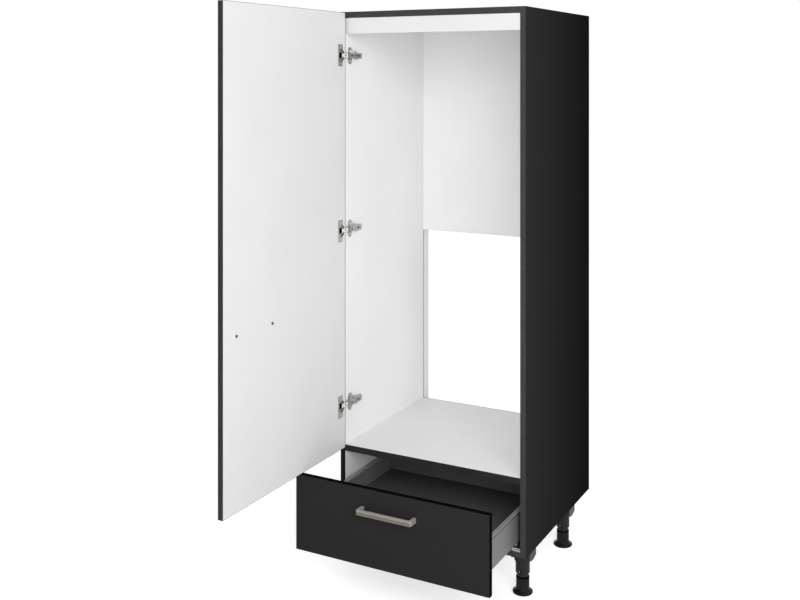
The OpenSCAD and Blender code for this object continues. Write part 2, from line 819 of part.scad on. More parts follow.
// An adjustable foot: a round base, a ribbed sleeve and a spindle up the tube
module foot(s, e) {
    ribs = 12;
    spindle_top = base_z - socket_plate - 12;
    sleeve_floor = tube_z - neck_h - 7;
    color(black_plastic) on_side(s) translate([leg_x, leg_y(e), 0]) difference() {
        rotate_extrude() polygon([
            [0, floor_level], [foot_r - 1.5, floor_level], [foot_r, floor_level + 1.5],
            [foot_r, foot_rim - 2], [foot_r - 2, foot_rim],
            [sleeve_r + 3, foot_rim + 3], [sleeve_r, foot_rim + 7], [sleeve_r, sleeve_top],
            [neck_r + 0.5, sleeve_top], [neck_r + 0.5, sleeve_floor], [spindle_r, sleeve_floor],
            [spindle_r, spindle_top], [0, spindle_top]]);
        for (i = [0 : ribs - 1]) rotate([0, 0, 360 / ribs * i])
            translate([sleeve_r - 1.3, -1.5, foot_rim + 9]) cube([3, 3, sleeve_top - foot_rim - 12]);
    }
}

module foot_front_left() { foot(LEFT, FRONT); }
module foot_front_right() { foot(RIGHT, FRONT); }
module foot_rear_left() { foot(LEFT, REAR); }
module foot_rear_right() { foot(RIGHT, REAR); }

side_panel_left();
side_panel_right();
top_panel();
niche_shelf();
bottom_panel();
top_rail();
upper_back_panel();
lower_back_panel();
carcass_edge_strips();
carcass_dowels();
cam_bolts();
cam_housings();
door_panel();
door_edge_strips();
door_handle();
door_handle_screws();
hinge_cup_top();
hinge_cup_middle();
hinge_cup_bottom();
hinge_link_top();
hinge_link_middle();
hinge_link_bottom();
hinge_arm_top();
hinge_arm_middle();
hinge_arm_bottom();
hinge_plate_top();
hinge_plate_middle();
hinge_plate_bottom();
hinge_pins();
hinge_cup_screws();
hinge_plate_screws();
hinge_arm_screws();
drawer_front();
drawer_front_edge_strips();
drawer_handle();
drawer_handle_screws();
drawer_side_left();
drawer_side_right();
drawer_floor();
drawer_back();
drawer_front_brackets();
drawer_screws();
runner_rail_left();
runner_rail_right();
runner_slider_left();
runner_slider_right();
runner_carrier_left();
runner_carrier_right();
runner_screws();
leg_sockets();
leg_screws();
leg_tube_front_left();
leg_tube_front_right();
leg_tube_rear_left();
leg_tube_rear_right();
foot_front_left();
foot_front_right();
foot_rear_left();
foot_rear_right();
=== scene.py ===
"""Looks of a tall black and white kitchen unit that houses a built-in fridge.

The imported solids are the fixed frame. Boards and strips get softened edges and two-coloured
faces, the handles, hinges, drawer sides, runner rails and legs get finer detail, and every
fitting that keeps its solid gets its own finish. Lengths in the shape functions and in the
classes of the unit are millimetres, and angles are degrees.
"""

import json
import logging
import math
from dataclasses import dataclass, replace
from enum import Enum
from typing import Any, Callable, Sequence

import bmesh
import bpy
from mathutils import Matrix, Vector

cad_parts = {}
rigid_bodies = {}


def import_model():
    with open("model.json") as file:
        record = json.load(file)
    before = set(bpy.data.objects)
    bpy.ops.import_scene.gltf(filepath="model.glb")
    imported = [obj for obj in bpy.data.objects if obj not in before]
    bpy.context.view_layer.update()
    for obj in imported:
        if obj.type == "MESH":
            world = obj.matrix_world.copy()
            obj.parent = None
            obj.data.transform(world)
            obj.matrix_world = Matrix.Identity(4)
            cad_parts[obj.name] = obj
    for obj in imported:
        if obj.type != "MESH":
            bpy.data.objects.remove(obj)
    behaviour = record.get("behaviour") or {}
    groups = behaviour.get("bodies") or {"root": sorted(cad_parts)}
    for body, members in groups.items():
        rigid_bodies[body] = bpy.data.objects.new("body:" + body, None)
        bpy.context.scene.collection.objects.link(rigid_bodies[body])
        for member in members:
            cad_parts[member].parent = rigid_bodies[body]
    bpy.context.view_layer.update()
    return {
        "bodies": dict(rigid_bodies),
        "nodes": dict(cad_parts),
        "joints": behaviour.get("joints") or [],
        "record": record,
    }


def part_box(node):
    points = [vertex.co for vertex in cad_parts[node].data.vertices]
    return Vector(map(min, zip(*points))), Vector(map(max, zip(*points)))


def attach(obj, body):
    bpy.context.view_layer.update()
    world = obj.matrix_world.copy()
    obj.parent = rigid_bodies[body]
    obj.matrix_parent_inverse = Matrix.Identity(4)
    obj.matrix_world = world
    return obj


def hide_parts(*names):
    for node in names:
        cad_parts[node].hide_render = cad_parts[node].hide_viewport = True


LOG = logging.getLogger("fridge_unit")
MM = 0.001
NEAR = 1e-6  # metres within which two places count as one
FLAT_ANGLE = 0.4  # degrees up to which two faces count as one
MIX_COLOURS = (6, 7)  # places of a Mix node's two colour inputs
MIX_RESULT = 2  # place of its colour output
Point = tuple[float, float, float]
Colour = tuple[float, float, float]
Flat = tuple[float, float]
Span = tuple[float, float]
Placing = Callable[[float, float, float], Point]
Layers = Sequence[tuple[float, Sequence[Flat]]]
Socket = bpy.types.NodeSocket
Shape = bmesh.types.BMesh
Face = bmesh.types.BMFace
Edges = list[bmesh.types.BMEdge]


class Axis(Enum):
    """The frame's axes, as places in a point."""

    X = 0
    Y = 1
    Z = 2


class Named(Enum):
    """An option whose name is a word in the names of pieces."""

    @property
    def word(self) -> str:
        """The option's word."""
        return self.name.lower()


class Hand(Named):
    """The two sides of the unit, seen from the front."""

    LEFT = -1
    RIGHT = 1


class Depth(Named):
    """The front and rear rows of legs, by the y of their middle."""

    FRONT = 43.0
    REAR = 381.0


class Level(Named):
    """The three hinges, by the height of their middle."""

    TOP = 1403.5
    MIDDLE = 875.0
    BOTTOM = 346.5


def grey(level: float) -> Colour:
    """A neutral colour."""
    return level, level, level


def largest(tree: bpy.types.NodeTree, *values: Socket) -> Socket:
    """Finds the largest of some values.

    Args:
        tree: The node tree they are in.
        values: The values.

    Returns:
        The largest one.
    """
    found = values[0]
    for value in values[1:]:
        made = tree.nodes.new("ShaderNodeMath")
        made.operation = "MAXIMUM"
        tree.links.new(found, made.inputs[0])
        tree.links.new(value, made.inputs[1])
        found = made.outputs[0]
    return found


class NodeSketch:
    """A node material while it is drawn up, with the piece's own coordinates as its base."""

    def __init__(self, name: str) -> None:
        """Starts a material.

        Args:
            name: Its name.
        """
        self.material = bpy.data.materials.new(name)
        self.material.use_nodes = True
        self.tree = self.material.node_tree
        self.surface = self.tree.nodes["Principled BSDF"]
        self.place = self.tree.nodes.new("ShaderNodeTexCoord").outputs["Object"]

    def node(self, kind: str, **inputs: Any) -> bpy.types.Node:
        """Adds a node.

        Args:
            kind: The node's type, without its ShaderNode prefix.
            inputs: Values or sockets by input name, with underscores for spaces.

        Returns:
            The new node.
        """
        made = self.tree.nodes.new("ShaderNode" + kind)
        for word, value in inputs.items():
            self.feed(made.inputs[word.replace("_", " ")], value)
        return made

    def feed(self, socket: Socket, value: Any) -> None:
        """Links a socket to another, or sets its value.

        Args:
            socket: The input that is fed.
            value: The socket that feeds it, or the value.
        """
        if isinstance(value, Socket):
            self.tree.links.new(value, socket)
        else:
            socket.default_value = value

    def noise(self, scale: float, detail: float = 2.0, stretch: Point = (1, 1, 1),
              rough: float = 0.5) -> Socket:
        """Fractal noise over the piece.

        Args:
            scale: Grains to the metre.
            detail: Octaves.
            stretch: Factors on the three axes, larger for finer.
            rough: How strong the fine octaves are.

        Returns:
            The noise, from 0 to 1.
        """
        where = self.node("Mapping", Vector=self.place, Scale=stretch).outputs["Vector"]
        made = self.node("TexNoise", Vector=where, Scale=scale, Detail=detail, Roughness=rough)
        return made.outputs["Fac"]

    def between(self, value: Socket, low: float, high: float, start: float = 0.3,
                end: float = 0.7) -> Socket:
        """Spreads a value over a new range.

        Args:
            value: The value.
            low: What the old range's start becomes.
            high: What the old range's end becomes.
            start: The old range's start.
            end: The old range's end.

        Returns:
            The value in the new range.
        """
        made = self.node("MapRange", Value=value, From_Min=start, From_Max=end,
                         To_Min=low, To_Max=high)
        return made.outputs["Result"]

    def shades(self, share: Socket, tone: Colour, low: float, high: float) -> Socket:
        """Mixes two strengths of a tone.

        Args:
            share: The share of the second strength.
            tone: The tone.
            low: Factor on the tone for the first strength.
            high: Factor on the tone for the second strength.

        Returns:
            The mixed colour.
        """
        made = self.node("Mix")
        made.data_type = "RGBA"
        self.feed(made.inputs[0], share)
        for place, factor in zip(MIX_COLOURS, (low, high)):
            made.inputs[place].default_value = (*(min(1.0, c * factor) for c in tone), 1)
        return made.outputs[MIX_RESULT]

    def fade(self, colour: Socket, along: Axis, length: float, share: float) -> Socket:
        """Paints shade into a colour, deepening it along an axis.

        Args:
            colour: The colour to deepen.
            along: The axis.
            length: Where the deepest place is, in metres from the axis's zero.
            share: What is left of the colour there.

        Returns:
            The deepened colour.
        """
        parts = self.node("SeparateXYZ", Vector=self.place).outputs
        made = self.node("VectorMath")
        made.operation = "SCALE"
        self.feed(made.inputs[0], colour)
        self.feed(made.inputs["Scale"], self.between(parts[along.value], 1, share, 0, length))
        return made.outputs[0]

    def mottle(self, pattern: Socket, tone: Colour, low: float, high: float) -> None:
        """Colours the surface with a tone that a pattern takes from a low to a high factor."""
        self.colour(self.shades(self.between(pattern, 0, 1), tone, low, high))

    def sheen(self, pattern: Socket, level: float, less: float, more: float) -> None:
        """Sets the roughness, which a pattern takes from below to above a level."""
        self.set(Roughness=self.between(pattern, level - less, level + more))

    def colour(self, value: Any) -> None:
        """Sets the surface's colour, from a socket or as numbers."""
        linked = isinstance(value, Socket)
        self.feed(self.surface.inputs["Base Color"], value if linked else (*value, 1))

    def set(self, **values: Any) -> None:
        """Sets the surface's own sockets, by name with underscores for spaces."""
        for word, value in values.items():
            self.feed(self.surface.inputs[word.replace("_", " ")], value)

    def relief(self, *layers: tuple[Socket, float]) -> None:
        """Adds bump, one layer on another.

        Args:
            layers: Each a height from 0 to 1 and its depth in metres.
        """
        normal = None
        for height, depth in layers:
            made = self.node("Bump", Height=height, Distance=depth, Strength=1.0)
            if normal is not None:
                self.feed(made.inputs["Normal"], normal)
            normal = made.outputs["Normal"]
        self.feed(self.surface.inputs["Normal"], normal)


@dataclass(frozen=True)
class Finish:
    """What every finish has. Scales are in grains to the metre, and depths in metres."""

    name: str
    tone: Colour

    def material(self) -> bpy.types.Material:
        """Makes the finish's node material.

        Returns:
            The material.
        """
        sketch = NodeSketch(self.name)
        self.draw(sketch)
        return sketch.material

    def draw(self, sketch: NodeSketch) -> None:
        """Draws the finish up, in its own way."""
        raise NotImplementedError


@dataclass(frozen=True)
class Laminate(Finish):
    """Resin-coated board face with a fine pearl texture, and painted shade to the rear if asked.
    """

    roughness: float = 0.42
    gloss: float = 0.4
    pearl_depth: float = 0.00002
    cloud: float = 0.02
    rear_share: float = 1.0
    fade_length: float = 0.565
    cloud_scale: float = 5.0
    speck_scale: float = 520.0
    sheen_scale: float = 60.0
    pearl_scale: float = 1400.0
    cloud_weight: float = 0.7
    spread: Span = (0.04, 0.04)

    def draw(self, sketch: NodeSketch) -> None:
        """Draws the laminate up.

        Args:
            sketch: The material's sketch.
        """
        cloud = sketch.noise(self.cloud_scale, detail=3)
        speck = sketch.noise(self.speck_scale)
        mix = sketch.node("Math")
        mix.operation = "ADD"
        sketch.feed(mix.inputs[0], sketch.between(cloud, 0, self.cloud_weight))
        sketch.feed(mix.inputs[1], sketch.between(speck, 0, 1 - self.cloud_weight))
        face = sketch.shades(mix.outputs[0], self.tone, 1 - self.cloud, 1 + self.cloud)
        # Painted shade: the colour deepens towards the rear, as if less light reached it there.
        if self.rear_share < 1:
            face = sketch.fade(face, Axis.Y, self.fade_length, self.rear_share)
        sketch.colour(face)
        sketch.sheen(sketch.noise(self.sheen_scale), self.roughness, *self.spread)
        sketch.set(Specular_IOR_Level=self.gloss)
        pearl = sketch.noise(self.pearl_scale, detail=1)
        sketch.relief((speck, self.pearl_depth), (pearl, self.pearl_depth / 2))


@dataclass(frozen=True)
class EdgeBanding(Finish):
    """Solid plastic edge strip with a fine grain across it."""

    roughness: float = 0.38
    gloss: float = 0.3
    grain_scale: float = 900.0
    cloud_scale: float = 30.0
    shade: Span = (0.9, 1.12)
    spread: Span = (0.05, 0.07)
    depth: float = 0.000015

    def draw(self, sketch: NodeSketch) -> None:
        """Draws the banding up.

        Args:
            sketch: The material's sketch.
        """
        grain = sketch.noise(self.grain_scale)
        sketch.mottle(sketch.noise(self.cloud_scale), self.tone, *self.shade)
        sketch.sheen(grain, self.roughness, *self.spread)
        sketch.set(Specular_IOR_Level=self.gloss)
        sketch.relief((grain, self.depth))


@dataclass(frozen=True)
class RawWood(Finish):
    """Wood without a coat: chips, pressed fibres or grain, seen in grooves, bores and backs."""

    scale: float
    detail: float
    rough: float
    shade: Span
    roughness: float
    depth: float
    stretch: Point = (1, 1, 1)

    def draw(self, sketch: NodeSketch) -> None:
        """Draws the wood up.

        Args:
            sketch: The material's sketch.
        """
        grain = sketch.noise(self.scale, self.detail, self.stretch, self.rough)
        sketch.mottle(grain, self.tone, *self.shade)
        sketch.set(Roughness=self.roughness)
        sketch.relief((grain, self.depth))


@dataclass(frozen=True)
class BrushedNickel(Finish):
    """Satin nickel with fine brush lines along the bar."""

    along: Axis
    roughness: float = 0.34
    metallic: float = 0.45
    line_scale: float = 2600.0
    line_stretch: float = 0.02
    line_rough: float = 0.6
    cloud_scale: float = 40.0
    shade: Span = (0.9, 1.08)
    spread: Span = (0.04, 0.05)
    depth: float = 0.000012

    def draw(self, sketch: NodeSketch) -> None:
        """Draws the brush lines up.

        Args:
            sketch: The material's sketch.
        """
        stretch = tuple(self.line_stretch if axis is self.along else 1.0 for axis in Axis)
        lines = sketch.noise(self.line_scale, 3, stretch, self.line_rough)
        cloud = sketch.noise(self.cloud_scale)
        sketch.mottle(lines, self.tone, *self.shade)
        sketch.sheen(cloud, self.roughness, *self.spread)
        sketch.set(Metallic=self.metallic)
        sketch.relief((lines, self.depth))


@dataclass(frozen=True)
class PlatedSteel(Finish):
    """Stamped steel with a zinc or nickel plating."""

    roughness: float = 0.28
    spangle: float = 0.06
    cell_scale: float = 260.0
    cloud_scale: float = 90.0
    fine_scale: float = 1500.0
    spread: Span = (0.06, 0.08)
    depth: float = 0.000008

    def draw(self, sketch: NodeSketch) -> None:
        """Draws the plating up.

        Args:
            sketch: The material's sketch.
        """
        cells = sketch.node("TexVoronoi", Vector=sketch.place, Scale=self.cell_scale)
        cloud = sketch.noise(self.cloud_scale, detail=3)
        sketch.colour(sketch.shades(cells.outputs["Color"], self.tone, 1 - self.spangle,
                                    1 + self.spangle))
        sketch.sheen(cloud, self.roughness, *self.spread)
        sketch.set(Metallic=1.0)
        sketch.relief((sketch.noise(self.fine_scale), self.depth))


@dataclass(frozen=True)
class PowderCoat(Finish):
    """Grey powder-coated steel with a slight orange peel."""

    roughness: float = 0.42
    metallic: float = 0.25
    gloss: float = 0.5
    peel_scale: float = 700.0
    cloud_scale: float = 12.0
    shade: Span = (0.95, 1.05)
    spread: Span = (0.05, 0.05)
    depth: float = 0.00003

    def draw(self, sketch: NodeSketch) -> None:
        """Draws the coat up.

        Args:
            sketch: The material's sketch.
        """
        peel = sketch.noise(self.peel_scale)
        sketch.mottle(sketch.noise(self.cloud_scale, detail=3), self.tone, *self.shade)
        sketch.sheen(peel, self.roughness, *self.spread)
        sketch.set(Metallic=self.metallic, Specular_IOR_Level=self.gloss)
        sketch.relief((peel, self.depth))


@dataclass(frozen=True)
class MouldedPlastic(Finish):
    """Moulded plastic with a fine spark-eroded skin."""

    roughness: float = 0.36
    gloss: float = 0.4
    skin_scale: float = 1100.0
    flow_scale: float = 45.0
    flow_stretch: Point = (1, 1, 0.25)
    shade: Span = (0.85, 1.2)
    spread: Span = (0.06, 0.08)
    depth: float = 0.00004

    def draw(self, sketch: NodeSketch) -> None:
        """Draws the skin up.

        Args:
            sketch: The material's sketch.
        """
        skin = sketch.noise(self.skin_scale)
        flow = sketch.noise(self.flow_scale, 3, self.flow_stretch)
        sketch.mottle(flow, self.tone, *self.shade)
        sketch.sheen(flow, self.roughness, *self.spread)
        sketch.set(Specular_IOR_Level=self.gloss)
        sketch.relief((skin, self.depth))


WHITE_FACE = Laminate("white_laminate", grey(0.81), roughness=0.45, gloss=0.35)
# Darker copies of the white laminate, as painted shade on the door's inner face and on the top
# rail's front.
DOOR_WHITE_PAINTED_SHADE = Laminate("door_white_laminate", grey(0.67), roughness=0.45, gloss=0.3)
RAIL_WHITE_PAINTED_SHADE = Laminate("rail_white_laminate", grey(0.62), roughness=0.45, gloss=0.3)
BLACK_FACE = Laminate("black_laminate", grey(0.0195), roughness=0.5, gloss=0.015, cloud=0.03)
CARCASS_STRIP = EdgeBanding("carcass_edge_strip", grey(0.042), gloss=0.03)
# Black laminate of the carcass outside, with painted shade deepening it towards the rear.
CARCASS_BLACK_REAR_SHADE = Laminate("carcass_black_laminate", grey(0.025), roughness=0.5, gloss=0.0,
                         cloud=0.04, rear_share=0.3)
DOOR_STRIP = EdgeBanding("door_edge_strip", grey(0.032), gloss=0.02)
# Black edge banding of the drawer front, made far darker than the other strips as painted shade.
DRAWER_STRIP_PAINTED_SHADE = EdgeBanding("drawer_edge_strip", grey(0.0035), gloss=0.0)
# Darker copies of the black edge banding, as painted shade where the open door shades the left
# upright and the shelf's strip.
INNER_STRIP_PAINTED_SHADE = EdgeBanding("inner_edge_strip", grey(0.012), gloss=0.01)
SHELF_STRIP_PAINTED_SHADE = EdgeBanding("shelf_edge_strip", grey(0.023), gloss=0.015)
CORE = RawWood("chipboard_core", (0.42, 0.33, 0.22), scale=420, detail=4, rough=0.7,
               shade=(0.6, 1.25), roughness=0.85, depth=0.0002)
# Chipboard core darkened as painted shade, for the shade deep in the side panels' grooves.
GROOVE_CORE_PAINTED_SHADE = replace(CORE, name="groove_core", tone=(0.085, 0.08, 0.075))
ROUGH_BACK = RawWood("hardboard_back", (0.25, 0.16, 0.09), scale=260, detail=5, rough=0.75,
                     shade=(0.7, 1.2), roughness=0.8, depth=0.0001)
DOWEL_WOOD = RawWood("beech_dowel", (0.50, 0.36, 0.20), scale=300, detail=4, rough=0.65,
                     shade=(0.75, 1.1), roughness=0.6, depth=0.00008, stretch=(0.15, 1, 1))
SATIN_ACROSS = BrushedNickel("satin_nickel_drawer", (0.255, 0.238, 0.206), Axis.X)
SATIN_ALONG = BrushedNickel("satin_nickel_door", (0.285, 0.271, 0.243), Axis.Y)
# Lighter and darker copies of the satin nickel, as a painted highlight on the handles' tops and
# ends and painted shade below their groove.
SATIN_PAINTED_HIGHLIGHT = BrushedNickel("satin_nickel_top", (0.48, 0.455, 0.4), Axis.X)
SATIN_PAINTED_SHADE = BrushedNickel("satin_nickel_lower_band", (0.14, 0.131, 0.114), Axis.X)
# Lighter copy of the hinge plating, as a painted highlight on edges.
HINGE_PAINTED_HIGHLIGHT = PlatedSteel("hinge_bright_edge", (0.62, 0.60, 0.57), roughness=0.22, spangle=0.02)
HINGE_NICKEL = PlatedSteel("hinge_nickel", (0.43, 0.415, 0.39), roughness=0.3, spangle=0.03)
# Near-white nickel for the links and the cup's lever, as a painted highlight.
LINK_PAINTED_HIGHLIGHT = BrushedNickel("hinge_link_polished", (0.86, 0.85, 0.82), Axis.Y, roughness=0.3,
                            metallic=0.3)
ZINC = PlatedSteel("bright_zinc", (0.58, 0.59, 0.60))
DARK_STEEL = PlatedSteel("dark_screw_steel", (0.16, 0.155, 0.15), roughness=0.4)
# Black for the floor of the pressed cup, as painted shade.
CUP_PAINTED_SHADE = MouldedPlastic("hinge_cup_inside", grey(0.012), roughness=0.5)
SIDE_COAT = PowderCoat("drawer_side_coat", (0.126, 0.128, 0.13))
# Copies of the side coat: near black as painted shade in the pressed line and seam, lighter as
# painted light on the inner face, and lighter still as a painted highlight on the top.
GROOVE_PAINTED_SHADE = PowderCoat("drawer_side_groove_coat", (0.006, 0.006, 0.0062))
SIDE_INNER_PAINTED_LIGHT = PowderCoat("drawer_side_inner_coat", (0.185, 0.187, 0.19))
SIDE_TOP_PAINTED_HIGHLIGHT = PowderCoat("drawer_side_top_coat", (0.34, 0.342, 0.345))
DRAWER_BOARD = Laminate("drawer_board_laminate", (0.085, 0.085, 0.086), roughness=0.5, gloss=0.2,
                        pearl_depth=0.00004, cloud=0.08)
# Lighter copy of the drawer board for the floor, with painted shade deepening it almost to black
# at the rear.
FLOOR_BOARD_REAR_SHADE = replace(DRAWER_BOARD, name="drawer_floor_laminate", tone=(0.1, 0.1, 0.101),
                      rear_share=0.05)
BLACK_PLASTIC = MouldedPlastic("black_plastic", (0.012, 0.012, 0.0125), gloss=0.15)
# Pale plastic for the pins in the leg holes, as a painted highlight.
PIN_PAINTED_HIGHLIGHT = MouldedPlastic("pale_plastic", grey(0.36), roughness=0.4)
# Deep black for the hinge adjusters and the feet's rings, and painted shade in bores, on plugs,
# on seams and between the cup's cheeks.
DEEP_BLACK_AND_PAINTED_SHADE = MouldedPlastic("deep_black_plastic", grey(0.0008), roughness=0.7, gloss=0.0)
LINK_SHADE = PlatedSteel("hinge_link_slot", (0.20, 0.18, 0.14), roughness=0.4)
FOOT_PLASTIC = MouldedPlastic("foot_plastic", (0.006, 0.006, 0.0062), roughness=0.3, gloss=0.14)


class PaintShop:
    """Makes each finish's material once and hands it out."""

    def __init__(self) -> None:
        """Starts with no materials made."""
        self.made: dict[str, bpy.types.Material] = {}

    def __call__(self, finish: Finish) -> bpy.types.Material:
        """Hands out a finish's material.

        Args:
            finish: The finish.

        Returns:
            Its material.
        """
        if finish.name not in self.made:
            self.made[finish.name] = finish.material()
        return self.made[finish.name]


PAINT = PaintShop()


@dataclass(frozen=True)
class Facing:
    """A rule that gives the faces near a plane their finish."""

    axis: Axis
    at: float
    finish: Finish
    reach: float = 0.02

    def holds(self, face: Face) -> bool:
        """Whether the middle of a face is near the plane."""
        middle = face.calc_center_median()
        return abs(middle[self.axis.value] - self.at * MM) <= self.reach * MM


@dataclass(frozen=True)
class OuterBand:
    """A rule that gives the faces that look one way, below a height, their finish."""

    outward: Point
    top: float
    finish: Finish
    share: float = 0.35

    def holds(self, face: Face) -> bool:
        """Whether a face looks outward and its middle is below the band's top."""
        return (face.normal.dot(Vector(self.outward)) > self.share
                and face.calc_center_median().z < self.top * MM)


@dataclass(frozen=True)
class Bore:
    """A rule that gives the faces of a bore along y their finish."""

    x: float
    z: float
    radius: float
    finish: Finish

    def holds(self, face: Face) -> bool:
        """Whether the middle of a face is within the bore."""
        middle = face.calc_center_median() / MM
        return math.hypot(middle.x - self.x, middle.z - self.z) <= self.radius


Rule = Facing | OuterBand | Bore


def add_object(name: str, data: bpy.types.ID) -> bpy.types.Object:
    """Puts a new object into the scene.

    Args:
        name: Its name.
        data: Its mesh, lamp or camera.

    Returns:
        The object.
    """
    made = bpy.data.objects.new(name, data)
    bpy.context.scene.collection.objects.link(made)
    return made


def copy_of(node: bpy.types.Object) -> Shape:
    """Copies a solid's shape, with its flat faces joined.

    Args:
        node: The solid.

    Returns:
        The copy, in metres.
    """
    shape = bmesh.new()
    shape.from_mesh(node.data)
    bmesh.ops.remove_doubles(shape, verts=shape.verts, dist=NEAR)
    bmesh.ops.dissolve_limit(shape, angle_limit=math.radians(FLAT_ANGLE), verts=shape.verts,
                             edges=shape.edges)
    return shape


def box_edges(shape: Shape) -> Edges:
    """Finds the edges where two faces of a shape's bounding box meet.

    Args:
        shape: The shape.

    Returns:
        The edges.
    """
    sides = [(i, end(v.co[i] for v in shape.verts)) for i in range(3) for end in (min, max)]
    return [e for e in shape.edges
            if sum(all(abs(v.co[i] - at) < NEAR for v in e.verts) for i, at in sides) >= 2]


def soften(shape: Shape, edges: Edges, width: float, steps: int = 2) -> None:
    """Rounds edges off by a width in millimetres."""
    bmesh.ops.bevel(shape, geom=edges, offset=width * MM, segments=steps, profile=0.5,
                    affect="EDGES", clamp_overlap=True)


def rounded_outline(corners: Sequence[Point], steps: int = 5) -> list[Flat]:
    """A flat outline with rounded corners.

    Args:
        corners: Each corner's two coordinates and its radius, in order round the outline.
        steps: Facets on a rounded corner.

    Returns:
        The outline's points.
    """
    points: list[Flat] = []
    count = len(corners)
    for i, (x, y, radius) in enumerate(corners):
        here = Vector((x, y))
        if radius <= 0:
            points.append((x, y))
            continue
        before = (Vector(corners[i - 1][:2]) - here).normalized()
        after = (Vector(corners[(i + 1) % count][:2]) - here).normalized()
        half = before.angle(after) / 2
        reach = radius / math.tan(half)
        middle = here + (before + after).normalized() * (radius / math.sin(half))
        start, end = here + before * reach - middle, here + after * reach - middle
        turn = start.angle_signed(end)
        for k in range(steps + 1):
            bent = start.copy()
            bent.rotate(Matrix.Rotation(-turn * k / steps, 2))
            points.append(tuple(middle + bent))
    return points


def loft(layers: Layers, place: Placing, shape: Shape | None = None) -> Shape:
    """Adds a closed form through outlines that have as many points each.

    Args:
        layers: Each outline's place along the form and its points in millimetres.
        place: Turns the outline's two coordinates and the way along into a point.
        shape: The shape that gets the form, in metres, or None for a new one.

    Returns:
        The shape.
    """
    shape = bmesh.new() if shape is None else shape
    rings = [[shape.verts.new(Vector(place(a, b, way)) * MM) for a, b in outline]
             for way, outline in layers]
    for low, high in zip(rings, rings[1:]):
        for i in range(len(low)):
            j = (i + 1) % len(low)
            shape.faces.new((low[i], low[j], high[j], high[i]))
    shape.faces.new(rings[0])
    shape.faces.new(rings[-1])
    return shape


def add_box(shape: Shape, low: Point, high: Point) -> None:
    """Adds a box.

    Args:
        shape: The shape that gets the box, in metres.
        low: Its low corner in millimetres.
        high: Its high corner in millimetres.
    """
    middle = (Vector(low) + Vector(high)) / 2 * MM
    size = (Vector(high) - Vector(low)) * MM
    bmesh.ops.create_cube(shape, size=1, matrix=Matrix.Translation(middle)
                          @ Matrix.Diagonal((*size, 1)))


def add_rod(shape: Shape, middle: Point, radius: float, length: float, turn: Axis,
            steps: int) -> None:
    """Adds a round rod.

    Args:
        shape: The shape that gets the rod, in metres.
        middle: Its middle in millimetres.
        radius: Its radius.
        length: Its length.
        turn: The axis that an upright rod is turned about, by a right angle.
        steps: Facets round it.
    """
    bmesh.ops.create_cone(shape, cap_ends=True, segments=steps, radius1=radius * MM,
                          radius2=radius * MM, depth=length * MM,
                          matrix=Matrix.Translation(Vector(middle) * MM)
                          @ Matrix.Rotation(math.pi / 2, 4, turn.name))


@dataclass
class SubAssembly:
    """What the sub-assemblies share: the frame, and how a piece is handed to it."""

    frame: dict[str, Any]

    def add(self, shape: Shape, name: str, body: str, slot: str, base: Finish,
            rules: Sequence[Rule] = (), crease: float | None = None, node: str = "") -> None:
        """Turns a shape into a piece with its finishes, on its body.

        Args:
            shape: The shape in metres, freed here.
            name: The piece's name.
            body: The body it rides on.
            slot: Not used.
            base: The finish of every face that no rule takes.
            rules: Rules in order, the first that holds wins.
            crease: Angle above which an edge stays sharp, or None for flat faces.
            node: The solid that it stands for, if any.
        """
        finishes = list(dict.fromkeys([base, *(rule.finish for rule in rules)]))
        bmesh.ops.recalc_face_normals(shape, faces=shape.faces)
        for face in shape.faces:
            taken = next((rule.finish for rule in rules if rule.holds(face)), base)
            face.material_index = finishes.index(taken)
            face.smooth = crease is not None
        if crease is not None:
            for edge in shape.edges:
                edge.smooth = edge.calc_face_angle(math.pi) < math.radians(crease)
        mesh = bpy.data.meshes.new(name)
        shape.to_mesh(mesh)
        shape.free()
        for finish in finishes:
            mesh.materials.append(PAINT(finish))
        piece = add_object(name, mesh)
        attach(piece, body)
        if node:
            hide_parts(node)
        LOG.info("built %s on %s for %s", name, body, node or "no solid")

    def remake(self, node: str, name: str, body: str, slot: str, base: Finish,
               rules: Sequence[Rule] = (), crease: float | None = None, softness: float = 0.0,
               steps: int = 2, edges: Callable = box_edges) -> None:
        """Builds a solid again, with softened edges and finishes on its faces.

        Args:
            node: The solid.
            name: The piece's name.
            body: The body it rides on.
            slot: Its slot.
            base: The finish of every face that no rule takes.
            rules: Rules in order, the first that holds wins.
            crease: Angle above which an edge stays sharp, or None for flat faces.
            softness: Width of the softened edges, or 0 for none.
            steps: Facets on a softened edge.
            edges: Finds the edges to soften in the shape.
        """
        shape = copy_of(self.node(node))
        if softness:
            soften(shape, edges(shape), softness, steps)
        self.add(shape, name, body, slot, base, rules, crease, node)

    def dress(self, finish: Finish, *nodes: str) -> None:
        """Gives solids that keep their shape a finish.

        Args:
            finish: The finish.
            nodes: The solids' names.
        """
        for name in nodes:
            mesh = self.node(name).data
            mesh.materials.clear()
            mesh.materials.append(PAINT(finish))
            LOG.info("dressed %s in %s", name, finish.name)

    def node(self, name: str) -> bpy.types.Object:
        """A solid of the frame by name."""
        return self.frame["nodes"][name]


